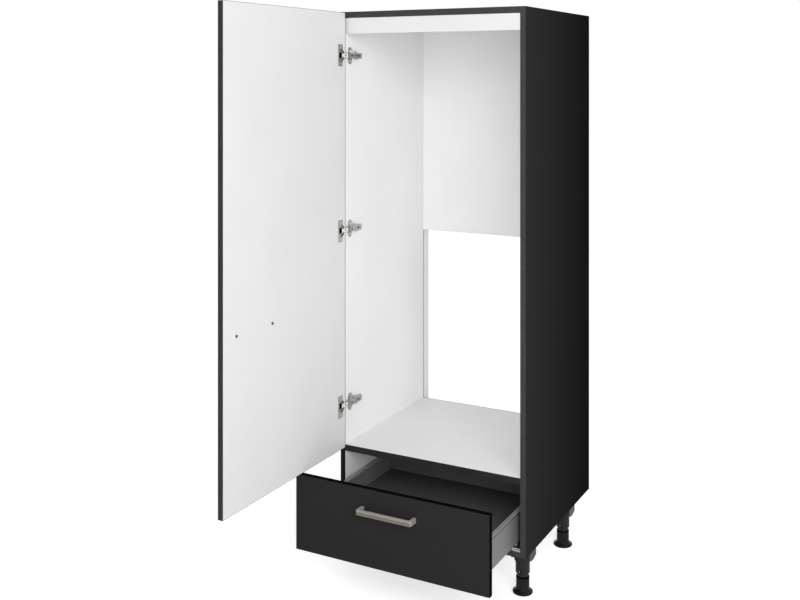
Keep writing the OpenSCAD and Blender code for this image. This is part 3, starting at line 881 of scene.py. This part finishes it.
@dataclass
class Carcass(SubAssembly):
    """The boards, backs, strips and hidden fixings of the cabinet."""

    width: float = 600.0
    height: float = 1536.0
    depth: float = 565.0
    board: float = 16.0
    back_at: float = 525.0
    softness: float = 0.4
    sheet_softness: float = 0.3
    strip_softness: float = 0.6
    strip_steps: int = 3
    edge_reach: float = 0.5
    strip_reach: float = 8.2
    sheet_reach: float = 0.01
    square_from: float = 60.0

    def build(self) -> None:
        """Builds and dresses the whole carcass."""
        for hand in Hand:
            self.side(hand)
        self.level_boards()
        self.backs()
        self.strips()
        self.fixings()

    def side(self, hand: Hand) -> None:
        """A side panel, white inside and black outside, the black deepened to the rear as painted
        shade.

        Args:
            hand: The side it is on.
        """
        outer = hand.value * self.width / 2
        inner = outer - hand.value * self.board
        rules = [Facing(Axis.X, inner, WHITE_FACE),
                 Facing(Axis.X, outer, CARCASS_BLACK_REAR_SHADE, self.edge_reach)]
        rules += [Facing(axis, at, CARCASS_STRIP, self.edge_reach)
                  for axis, at in ((Axis.Z, 0), (Axis.Z, self.height), (Axis.Y, self.depth))]
        # Faces that no rule takes, the groove's among them, get the core darkened as painted
        # shade.
        self.remake(f"side_panel_{hand.word}", f"side_board_{hand.word}", "carcass",
                    "black_board", GROOVE_CORE_PAINTED_SHADE, rules, softness=self.softness)

    def level_boards(self) -> None:
        """The top, the niche shelf, the bottom and the front rail."""
        for node in ("top_panel", "niche_shelf", "bottom_panel", "top_rail"):
            low, high = (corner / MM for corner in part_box(node))
            rules = [Facing(Axis.Z, low.z, WHITE_FACE), Facing(Axis.Z, high.z, WHITE_FACE),
                     Facing(Axis.Y, high.y, WHITE_FACE, self.edge_reach)]
            if node == "top_rail":
                # Painted shade: the rail's front face takes a darker copy of the white laminate.
                rules.append(Facing(Axis.Y, low.y, RAIL_WHITE_PAINTED_SHADE))
            self.remake(node, node + "_board", "carcass", "white_board", CORE, rules,
                        softness=self.softness, edges=self.rear_edges)

    def rear_edges(self, shape: Shape) -> Edges:
        """The outer edges of a level board that its front strip doesn't cover."""
        rear = max(v.co.y for v in shape.verts) - NEAR
        return [e for e in box_edges(shape) if max(v.co.y for v in e.verts) > rear]

    def backs(self) -> None:
        """The thin backs, white to the niche and brown behind."""
        rules = [Facing(Axis.Y, self.back_at, WHITE_FACE, self.sheet_reach)]
        for node in ("upper_back_panel", "lower_back_panel"):
            self.remake(node, node + "_sheet", "carcass", "white_board", ROUGH_BACK, rules,
                        softness=self.sheet_softness, steps=1)

    def strips(self) -> None:
        """The front edge strips, with their two rounded edges, and painted shade on the left
        upright's and the shelf's strips.
        """
        low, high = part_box("niche_shelf")
        rules = [Facing(Axis.X, (self.board - self.width) / 2, INNER_STRIP_PAINTED_SHADE, self.strip_reach),
                 Facing(Axis.Z, (low.z + high.z) / 2 / MM, SHELF_STRIP_PAINTED_SHADE, self.strip_reach)]
        self.remake("carcass_edge_strips", "carcass_front_strips", "carcass", "black_edge",
                    CARCASS_STRIP, rules, softness=self.strip_softness, steps=self.strip_steps,
                    edges=self.front_edges)

    def front_edges(self, shape: Shape) -> Edges:
        """The square edges of the strips that lie in the front plane."""
        return [e for e in shape.edges if all(abs(v.co.y) < NEAR for v in e.verts)
                and e.calc_face_angle(0) > math.radians(self.square_from)]

    def fixings(self) -> None:
        """Dowels and cam fittings keep their solids."""
        self.dress(DOWEL_WOOD, "carcass_dowels")
        self.dress(ZINC, "cam_bolts", "cam_housings")


@dataclass
class BowHandle(SubAssembly):
    """A flat bar handle bent back at both ends, with a groove and a slope along its front."""

    spacing: float = 160.0
    leg: float = 10.0
    bar: float = 9.5
    reach: float = 32.0
    height: float = 13.0
    slope_in: float = 4.2
    slope_down: float = 5.0
    slope_bulge: float = 0.85
    groove: float = 1.0
    groove_low: float = 1.3
    groove_middle: float = 0.7
    outer_corner: float = 6.5
    upper_corner: float = 1.2
    inner_corner: float = 4.0
    corner_steps: int = 8
    softness: float = 0.6
    soft_share: float = 0.3
    top_reach: float = 0.2
    end_share: float = 0.8
    crease: float = 20.0

    def outline(self, front_in: float = 0.0, end_in: float = 0.0, inner_in: float = 0.0,
                corner: float | None = None) -> list[Flat]:
        """The handle's outline from above.

        Args:
            front_in: How far the bar's front side is moved in.
            end_in: How far the outer ends are moved in.
            inner_in: How far the inner side is moved in.
            corner: Radius of the outer corners, or None for the lower band's.

        Returns:
            The outline's points.
        """
        half = self.spacing / 2
        out, inner = half + self.leg / 2 - end_in, half - self.leg / 2 + inner_in
        under, tip = self.reach - self.bar + inner_in, self.reach - front_in
        turn = self.outer_corner if corner is None else corner
        return rounded_outline([
            (-out, 0, 0), (-out, tip, turn), (out, tip, turn), (out, 0, 0), (inner, 0, 0),
            (inner, under, self.inner_corner + inner_in),
            (-inner, under, self.inner_corner + inner_in), (-inner, 0, 0)], self.corner_steps)

    def build(self, name: str, body: str, finish: Finish, node: str, place: Placing) -> None:
        """Builds one handle.

        Args:
            name: The piece's name.
            body: The body it rides on.
            finish: Its finish.
            node: The solid it stands for.
            place: Turns the way along, the way out and the height into a point.
        """
        half, soft = self.height / 2, self.softness
        ridge = half - self.slope_down
        less, upper = self.soft_share * soft, self.upper_corner
        shape = loft([
            (-half, self.outline(soft, soft, soft)),
            (-half + less, self.outline(less, less, less)),
            (-half + soft, self.outline()), (ridge - self.groove_low, self.outline()),
            (ridge - self.groove_middle, self.outline(self.groove, self.groove)),
            (ridge, self.outline()),
            (half - soft, self.outline(self.slope_in * self.slope_bulge, 0, 0, upper)),
            (half - less, self.outline(self.slope_in, less, less, upper)),
            (half, self.outline(self.slope_in + soft, soft, soft, upper))], place)
        level = place(0, 0, ridge)[2]
        outward = Vector(place(0, 1, 0)) - Vector(place(0, 0, 0))
        along = Vector(place(1, 0, 0)) - Vector(place(0, 0, 0))
        # Painted highlight on the top face and the two outer ends, and painted shade on the front
        # below the ridge.
        rules = [Facing(Axis.Z, place(0, 0, half)[2], SATIN_PAINTED_HIGHLIGHT, self.top_reach),
                 OuterBand(tuple(along), level + self.height, SATIN_PAINTED_HIGHLIGHT, self.end_share),
                 OuterBand(tuple(-along), level + self.height, SATIN_PAINTED_HIGHLIGHT, self.end_share),
                 OuterBand(tuple(outward), level, SATIN_PAINTED_SHADE)]
        self.add(shape, name, body, "nickel", finish, rules, self.crease, node)


@dataclass
class Door(SubAssembly):
    """The tall door, open at a right angle, with its strips and handle."""

    inner_at: float = -279.0
    outer_at: float = -295.0
    handle_y: float = -468.0
    handle_z: float = 671.5
    softness: float = 0.7
    steps: int = 3

    def build(self) -> None:
        """Builds the board, its strips and the handle."""
        # Painted shade: the door's inner face takes a darker copy of the white laminate.
        self.remake("door_panel", "door_board", "door", "black_board", CORE,
                    [Facing(Axis.X, self.inner_at, DOOR_WHITE_PAINTED_SHADE),
                     Facing(Axis.X, self.outer_at, BLACK_FACE)])
        self.remake("door_edge_strips", "door_strips", "door", "black_edge", DOOR_STRIP,
                    softness=self.softness, steps=self.steps)
        BowHandle(self.frame).build(
            "door_bow_handle", "door", SATIN_ALONG, "door_handle",
            lambda a, b, c: (self.outer_at - b, self.handle_y + a, self.handle_z + c))
        self.dress(DARK_STEEL, "door_handle_screws")


@dataclass
class Hinges(SubAssembly):
    """The three cup hinges between the side and the door."""

    door_face: float = -279.0
    cup_y: float = -30.5
    cup_inner: float = 16.8
    cup_deep: float = 11.5
    floor_reach: float = 0.2
    mouth_from: float = -37.0
    mouth_half: float = 8.4
    rim_steps: int = 40
    cover_low: float = -3.7
    cover_high: float = -2.9
    cheeks: tuple[Span, Span] = ((-7.7, -6.3), (6.3, 7.7))
    cheek_x: Span = (-9.5, 1.2)
    cheek_y: Span = (2.5, 15.5)
    lever_half: float = 6.2
    lever: tuple[Flat, ...] = ((2.5, -6.0), (2.5, 0.8), (8.0, 0.8), (10.7, -1.2), (12.7, -3.0),
                               (12.7, -6.0))
    web_at: float = -271.0
    arm_from: float = 14.0
    arm_to: float = 77.0
    edge_x: Span = (-1.0, 0.5)
    edge_z: Span = (6.2, 8.0)
    lug_x: Span = (-11.0, -0.6)
    lug_y: Span = (35.0, 41.0)
    lug_z: Span = (7.5, 14.5)
    nose: tuple[Flat, ...] = ((-3.9, 2.0), (-0.2, 12.6), (-1.1, 12.9), (-4.8, 2.3))
    nose_half: float = 9.4
    adjuster: Flat = (0.1, 58.0)
    adjuster_radius: float = 3.6
    adjuster_length: float = 1.0
    adjuster_steps: int = 32
    link_at: float = -276.6
    link_thick: float = 1.2
    link_at_eye: float = -1.8
    slot_half: float = 5.2
    slot_high: float = 2.2
    slot_sunk: float = 0.3
    slot_proud: float = 0.2
    slot_steps: int = 24
    cup_crease: float = 30.0
    crease: float = 40.0

    def build(self) -> None:
        """Builds the cups and arms with their detail and dresses the other parts."""
        for level in Level:
            self.cup(level)
            self.arm(level)
            self.link_slot(level)
            # Painted highlight: the link takes a near-white copy of the nickel.
            self.dress(LINK_PAINTED_HIGHLIGHT, f"hinge_link_{level.word}")
            self.dress(HINGE_NICKEL, f"hinge_plate_{level.word}")
        self.dress(DARK_STEEL, "hinge_pins", "hinge_arm_screws")
        self.dress(ZINC, "hinge_cup_screws", "hinge_plate_screws")

    def cover_outline(self) -> list[Flat]:
        """Draws the cup's inner cover, a disc with a mouth to one side.

        Returns:
            Its outline about the cup's middle.
        """
        reach = math.asin(self.mouth_half / self.cup_inner)
        arc = [reach + (2 * math.pi - 2 * reach) * k / self.rim_steps
               for k in range(self.rim_steps + 1)]
        rim = [(self.cup_inner * math.cos(a), self.cup_inner * math.sin(a)) for a in arc]
        near = self.mouth_from - self.cup_y
        return rim + [(near, -self.mouth_half), (near, self.mouth_half)]

    def cup(self, level: Level) -> None:
        """A pressed cup with painted shade on its floor, a sunk cover, and a lever between two
        cheeks.

        Args:
            level: The hinge it belongs to.
        """
        node = f"hinge_cup_{level.word}"
        face, y, z = self.door_face, self.cup_y, level.value
        # Painted shade: the cup's floor is made black.
        floor = Facing(Axis.X, face - self.cup_deep, CUP_PAINTED_SHADE, self.floor_reach)
        self.remake(node, f"pressed_cup_{level.word}", "door", "nickel", HINGE_NICKEL, [floor],
                    crease=self.cup_crease)
        outline = self.cover_outline()
        shape = loft([(self.cover_low, outline), (self.cover_high, outline)],
                     lambda a, b, c: (face + c, y + a, z + b))
        (x0, x1), (y0, y1) = self.cheek_x, self.cheek_y
        for z0, z1 in self.cheeks:
            add_box(shape, (face + x0, y + y0, z + z0), (face + x1, y + y1, z + z1))
        # Painted shade: the faces of the cheeks and the lever that look towards the cup's middle
        # are made deep black.
        inside = Facing(Axis.Y, y + y0, DEEP_BLACK_AND_PAINTED_SHADE)
        self.add(shape, f"cup_cover_{level.word}", "door", "nickel", HINGE_NICKEL, [inside])
        shape = loft([(-self.lever_half, self.lever), (self.lever_half, self.lever)],
                     lambda a, b, c: (face + b, y + a, z + c))
        self.add(shape, f"cup_lever_{level.word}", "door", "nickel", LINK_PAINTED_HIGHLIGHT, [inside])

    def arm(self, level: Level) -> None:
        """An arm with a painted highlight on its web's edge and side lug, a nose and a dark
        adjuster.

        Args:
            level: The hinge it belongs to.
        """
        node = f"hinge_arm_{level.word}"
        x, z = self.web_at, level.value
        shape = copy_of(self.node(node))
        edge, lug = self.edge_x[1], self.lug_x[1]
        for (x0, x1), (y0, y1), (z0, z1) in (
                (self.edge_x, (self.arm_from, self.arm_to), self.edge_z),
                (self.lug_x, self.lug_y, self.lug_z)):
            add_box(shape, (x + x0, y0, z + z0), (x + x1, y1, z + z1))
        loft([(-self.nose_half, self.nose), (self.nose_half, self.nose)],
             lambda a, b, c: (x + a, b, z + c), shape)
        # Painted highlight on the web's edge and the side lug's face.
        rules = [Facing(Axis.X, x + edge, HINGE_PAINTED_HIGHLIGHT), Facing(Axis.X, x + lug, HINGE_PAINTED_HIGHLIGHT)]
        self.add(shape, f"hinge_arm_body_{level.word}", "carcass", "nickel", HINGE_NICKEL, rules,
                 node=node)
        shape = bmesh.new()
        add_rod(shape, (x + self.adjuster[0], self.adjuster[1], z), self.adjuster_radius,
                self.adjuster_length, Axis.Y, self.adjuster_steps)
        self.add(shape, f"arm_adjuster_{level.word}", "carcass", "nickel", DEEP_BLACK_AND_PAINTED_SHADE,
                 crease=self.crease)

    def link_slot(self, level: Level) -> None:
        """The shaded slot pressed into a link's bar.

        Args:
            level: The hinge it belongs to.
        """
        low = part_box(f"hinge_link_{level.word}")[0]
        face = self.link_at + self.link_thick / 2
        middle = (low.y + self.link_at_eye * MM) / 2 / MM
        turns = [2 * math.pi * k / self.slot_steps for k in range(self.slot_steps)]
        oval = [(middle + self.slot_half * math.cos(a),
                 level.value + self.slot_high * math.sin(a)) for a in turns]
        shape = loft([(face - self.slot_sunk, oval), (face + self.slot_proud, oval)],
                     lambda a, b, c: (c, a, b))
        self.add(shape, f"link_slot_{level.word}", "hinge_links", "nickel", LINK_SHADE,
                 crease=self.crease)


@dataclass
class Drawer(SubAssembly):
    """The drawer, pulled out, with its front, steel sides, floor and back."""

    front_at: float = -245.0
    inner_at: float = -229.0
    rear_at: float = 261.0
    side_in: float = 260.3
    side_out: float = 273.3
    side_low: float = 38.0
    side_top: float = 122.0
    sheet: float = 1.2
    flange_to: float = 245.3
    flange_z: float = 55.0
    line_drop: float = 5.6
    line_wide: float = 3.2
    seam_in: float = 5.2
    seam_wide: float = 2.4
    line_deep: float = 0.6
    rim: float = 1.2
    handle_z: float = 157.0
    softness: float = 0.7
    steps: int = 3
    fold: float = 0.4
    top_fold: float = 1.2
    fold_steps: int = 4
    top_reach: float = 0.4
    crease: float = 32.0

    def build(self) -> None:
        """Builds the front, the handle, the sides and the boards."""
        self.front()
        for hand in Hand:
            self.side(hand)
        self.boards()
        self.dress(ZINC, "drawer_handle_screws", "drawer_front_brackets", "drawer_screws")

    def front(self) -> None:
        """The drawer front with its strips and handle."""
        self.remake("drawer_front", "drawer_front_board", "drawer", "black_board", CORE,
                    [Facing(Axis.Y, self.front_at, BLACK_FACE),
                     Facing(Axis.Y, self.inner_at, WHITE_FACE)])
        self.remake("drawer_front_edge_strips", "drawer_front_strips", "drawer", "black_edge",
                    DRAWER_STRIP_PAINTED_SHADE, softness=self.softness, steps=self.steps)
        BowHandle(self.frame).build(
            "drawer_bow_handle", "drawer", SATIN_ACROSS, "drawer_handle",
            lambda a, b, c: (a, self.front_at - b, self.handle_z + c))

    def side(self, hand: Hand) -> None:
        """A double steel side, open below for the runner, with a pressed line and a seam.

        Args:
            hand: The side it is on.
        """
        s, x0, x1 = hand.value, self.side_in, self.side_out
        z0, z1, t = self.side_low, self.side_top, self.sheet
        deep, flange_low = self.line_deep, self.flange_z - self.sheet
        line, line_end = z1 - self.line_drop, z1 - self.line_drop + self.line_wide
        seam, seam_end = x1 - self.seam_in, x1 - self.seam_in - self.seam_wide
        inner = [(x0, z0, 0), (x0 + t, z0, 0), (x0 + t, z1 - t, self.fold),
                 (x1 - t, z1 - t, self.fold), (x1 - t, z0, 0)]
        outer = [(x1, z0, 0), (x1, line, 0), (x1 - deep, line + deep / 2, 0),
                 (x1 - deep, line_end - deep / 2, 0), (x1, line_end, 0), (x1, z1, self.top_fold)]
        top = [(seam, z1, 0), (seam - deep / 2, z1 - deep, 0),
               (seam_end + deep / 2, z1 - deep, 0), (seam_end, z1, 0), (x0, z1, self.top_fold)]
        flange = [(x0, self.flange_z, 0), (self.flange_to, self.flange_z, 0),
                  (self.flange_to, flange_low, 0), (x0, flange_low, 0)]
        section = rounded_outline(inner + outer + top + flange, self.fold_steps)
        shape = loft([(self.inner_at, section), (self.rear_at, section)],
                     lambda a, b, c: (s * a, c, b))
        # Painted light on the inner face, painted shade in the pressed line and the seam, and a
        # painted highlight on the top.
        rules = [Facing(Axis.X, s * x0, SIDE_INNER_PAINTED_LIGHT),
                 Facing(Axis.X, s * (x1 - deep), GROOVE_PAINTED_SHADE),
                 Facing(Axis.Z, z1 - deep, GROOVE_PAINTED_SHADE),
                 Facing(Axis.Z, z1, SIDE_TOP_PAINTED_HIGHLIGHT, self.top_reach)]
        self.add(shape, f"drawer_steel_side_{hand.word}", "drawer", "drawer_steel", SIDE_COAT,
                 rules, self.crease, f"drawer_side_{hand.word}")

    def boards(self) -> None:
        """The floor and the back of the drawer, with painted shade as dark seams round them and
        deepening the floor to the rear.
        """
        for node, finish in (("drawer_floor", FLOOR_BOARD_REAR_SHADE), ("drawer_back", DRAWER_BOARD)):
            rules = [Facing(axis, corner[axis.value] / MM, finish)
                     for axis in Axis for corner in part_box(node)]
            # Painted shade: faces that no rule takes, the softened rims, are made deep black as
            # seams.
            self.remake(node, node + "_board", "drawer", "drawer_board", DEEP_BLACK_AND_PAINTED_SHADE, rules,
                        softness=self.rim)


@dataclass
class Runners(SubAssembly):
    """The drawer runners in bright zinc."""

    wall: float = 284.0
    rail_low: float = 18.0
    sheet: float = 1.6
    reach: float = 25.0
    leaf_height: float = 20.0
    start: float = 2.0
    end: float = 494.0
    set_back: float = 12.0
    blade_at: float = 266.8
    blade_half: float = 2.1
    toe_high: float = 6.0
    fold_low: float = 4.4
    fold_long: float = 24.0
    softness: float = 0.2
    long_edge: float = 400.0

    def build(self) -> None:
        """Builds the rails and dresses the sliders, carriers and screws."""
        for hand in Hand:
            self.rail(hand)
            self.dress(ZINC, f"runner_slider_{hand.word}", f"runner_carrier_{hand.word}")
        self.dress(ZINC, "runner_screws")

    def rail(self, hand: Hand) -> None:
        """A rail: a foot with a folded front, a leaf on the side panel and a blade.

        Args:
            hand: The side it is on.
        """
        node = f"runner_rail_{hand.word}"
        s, low, t = hand.value, self.rail_low, self.sheet
        wall, toe, blade, half = self.wall, self.wall - self.reach, self.blade_at, self.blade_half
        near, far, inset = self.start, self.end, self.start + self.set_back
        shape = bmesh.new()
        for x0, x1, y0, y1, z0, z1 in (
                (toe, wall, near, far, low, low + t),
                (toe, toe + t, near, far, low, low + self.toe_high),
                (toe + t, wall - t, near, near + self.fold_long, low + self.fold_low,
                 low + self.toe_high),
                (wall - t, wall, inset, far, low, low + self.leaf_height),
                (blade - half, blade + half, inset, far, low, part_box(node)[1].z / MM)):
            add_box(shape, (min(s * x0, s * x1), y0, z0), (max(s * x0, s * x1), y1, z1))
        soften(shape, [e for e in shape.edges if e.calc_length() > self.long_edge * MM],
               self.softness, 1)
        self.add(shape, f"rail_member_{hand.word}", "carcass", "zinc", ZINC, node=node)


@dataclass
class Legs(SubAssembly):
    """The four adjustable legs in black plastic."""

    leg_x: float = 275.0
    hole_z: float = -50.0
    hole_reach: float = 4.1
    plug_at: float = 19.4
    plug_radius: float = 3.85
    plug_length: float = 0.5
    plug_reach: float = 0.05
    pin_radius: float = 1.4
    pin_length: float = 4.0
    pin_proud: float = 0.5
    pin_aside: float = 1.9
    pin_low: float = 0.3
    rod_steps: int = 24
    ring_top: float = -67.0
    ring: float = 3.0
    ring_reach: float = 0.1
    crease: float = 35.0
    rod_crease: float = 40.0

    def build(self) -> None:
        """Builds the tubes and feet and dresses the sockets and screws."""
        self.dress(BLACK_PLASTIC, "leg_sockets")
        for hand in Hand:
            for depth in Depth:
                self.tube(hand, depth)
                self.foot(hand, depth)
        self.dress(ZINC, "leg_screws")

    def tube(self, hand: Hand, depth: Depth) -> None:
        """A leg tube whose hole has painted shade on its wall and on a plug, with a pale pin on
        the plug as a painted highlight.

        Args:
            hand: The side it is on.
            depth: The row it is in.
        """
        tail = f"{depth.word}_{hand.word}"
        x, z, front = hand.value * self.leg_x, self.hole_z, depth.value - self.plug_at
        # Painted shade: the wall of the hole is made deep black.
        self.remake(f"leg_tube_{tail}", f"leg_shaft_{tail}", "carcass", "black_plastic",
                    BLACK_PLASTIC, [Bore(x, z, self.hole_reach, DEEP_BLACK_AND_PAINTED_SHADE)], crease=self.crease)
        shape = bmesh.new()
        for radius, length, start, aside, low in (
                (self.plug_radius, self.plug_length, front, 0, 0),
                (self.pin_radius, self.pin_length, front - self.pin_proud, self.pin_aside,
                 self.pin_low)):
            add_rod(shape, (x - aside, start + length / 2, z - low), radius, length, Axis.X,
                    self.rod_steps)
        # Painted shade on the plug's front, and the pale pin as a painted highlight.
        black = Facing(Axis.Y, front, DEEP_BLACK_AND_PAINTED_SHADE, self.plug_reach)
        self.add(shape, f"leg_pin_{tail}", "carcass", "black_plastic", PIN_PAINTED_HIGHLIGHT, [black],
                 self.rod_crease)

    def foot(self, hand: Hand, depth: Depth) -> None:
        """A foot with a black ring round the top of its ribbed sleeve.

        Args:
            hand: The side it is on.
            depth: The row it is in.
        """
        node = f"foot_{depth.word}_{hand.word}"
        shape = copy_of(self.node(node))
        bmesh.ops.bisect_plane(shape, geom=shape.verts[:] + shape.edges[:] + shape.faces[:],
                               plane_co=(0, 0, (self.ring_top - self.ring) * MM),
                               plane_no=(0, 0, 1))
        ring = Facing(Axis.Z, self.ring_top - self.ring / 2, DEEP_BLACK_AND_PAINTED_SHADE,
                      self.ring / 2 + self.ring_reach)
        self.add(shape, f"ribbed_{node}", node, "black_plastic", FOOT_PLASTIC, [ring],
                 self.crease, node)


@dataclass(frozen=True)
class SoftLamp:
    """A soft square lamp, with its places and width in metres and its power in watts."""

    name: str
    place: Point
    aim: Point
    width: float
    power: float

    def build(self) -> None:
        """Puts the lamp up, facing its aim."""
        data = bpy.data.lights.new(self.name, "AREA")
        data.size, data.energy = self.width, self.power
        made = add_object(self.name, data)
        made.location = self.place
        facing = Vector(self.aim) - Vector(self.place)
        made.rotation_euler = facing.to_track_quat("-Z", "Y").to_euler()


@dataclass
class Studio:
    """The pale floor, the lamps and the camera. The floor's half width is in metres."""

    floor_at: float = -114.0
    lens: float = 46.94
    lens_shift: float = -0.2804
    sensor: float = 36.0
    eye: Point = (1360.6, -2714.4, 1342.3)
    turn: float = 28.2
    floor_half: float = 30.0
    floor_tone: float = 0.82
    floor_roughness: float = 0.9
    floor_glow: float = 0.55
    sky: float = 0.62
    lamps: tuple[SoftLamp, ...] = (
        SoftLamp("key_softbox", place=(2.2, -2.7, 1.45), aim=(-0.1, 0.1, 0.85), width=2.6,
                 power=104.0),
        SoftLamp("front_softbox", place=(0.2, -3.3, 2.6), aim=(0, 0.3, 0.7), width=2.4,
                 power=14.0))

    def build(self) -> None:
        """Sets the camera, the floor, the sky and the lamps."""
        self.camera()
        self.floor()
        self.sky_light()
        for lamp in self.lamps:
            lamp.build()

    def camera(self) -> None:
        """A level camera with a dropped lens, as the upright edges stay upright."""
        data = bpy.data.cameras.new("photo_camera")
        data.lens, data.sensor_width, data.shift_y = self.lens, self.sensor, self.lens_shift
        made = add_object("photo_camera", data)
        made.location = Vector(self.eye) * MM
        made.rotation_euler = (math.radians(90), 0, math.radians(self.turn))
        bpy.context.scene.camera = made

    def floor(self) -> None:
        """A wide pale floor that looks white to the camera and keeps the shadow."""
        shape = bmesh.new()
        bmesh.ops.create_grid(shape, x_segments=2, y_segments=2, size=self.floor_half)
        mesh = bpy.data.meshes.new("studio_floor")
        shape.to_mesh(mesh)
        shape.free()
        made = add_object("studio_floor", mesh)
        made.location.z = self.floor_at * MM
        sketch = NodeSketch("studio_floor_paint")
        sketch.colour(grey(self.floor_tone))
        sketch.set(Roughness=self.floor_roughness, Specular_IOR_Level=0.0)
        path = sketch.node("LightPath").outputs
        seen = largest(sketch.tree, path["Is Camera Ray"], path["Is Glossy Ray"])
        glow = sketch.node("Emission", Color=(1, 1, 1, 1),
                           Strength=sketch.between(seen, 0, self.floor_glow, 0, 1))
        both = sketch.node("AddShader").inputs
        sketch.feed(both[0], sketch.surface.outputs[0])
        sketch.feed(both[1], glow.outputs[0])
        sketch.feed(sketch.tree.nodes["Material Output"].inputs[0], both[0].node.outputs[0])
        mesh.materials.append(sketch.material)

    def sky_light(self) -> None:
        """An even sky: white to the camera, softer as light."""
        world = bpy.data.worlds.new("studio_sky")
        world.use_nodes = True
        bpy.context.scene.world = world
        tree = world.node_tree
        back = tree.nodes["Background"]
        back.inputs["Color"].default_value = (1, 1, 1, 1)
        path = tree.nodes.new("ShaderNodeLightPath").outputs
        seen = largest(tree, path["Is Camera Ray"], path["Is Transmission Ray"],
                       path["Is Glossy Ray"])
        level = tree.nodes.new("ShaderNodeMapRange")
        level.inputs["To Min"].default_value = self.sky
        level.inputs["To Max"].default_value = 1.0
        tree.links.new(seen, level.inputs["Value"])
        tree.links.new(level.outputs[0], back.inputs["Strength"])


def main() -> None:
    """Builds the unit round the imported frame, sub-assembly by sub-assembly."""
    logging.basicConfig(level=logging.INFO, format="%(message)s")
    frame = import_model()
    scene = bpy.context.scene
    scene.view_settings.view_transform = "Standard"
    Studio().build()
    for part in (Carcass, Door, Hinges, Drawer, Runners, Legs):
        part(frame).build()
        LOG.info("%s is done", part.__name__)


if __name__ == "__main__":
    main()
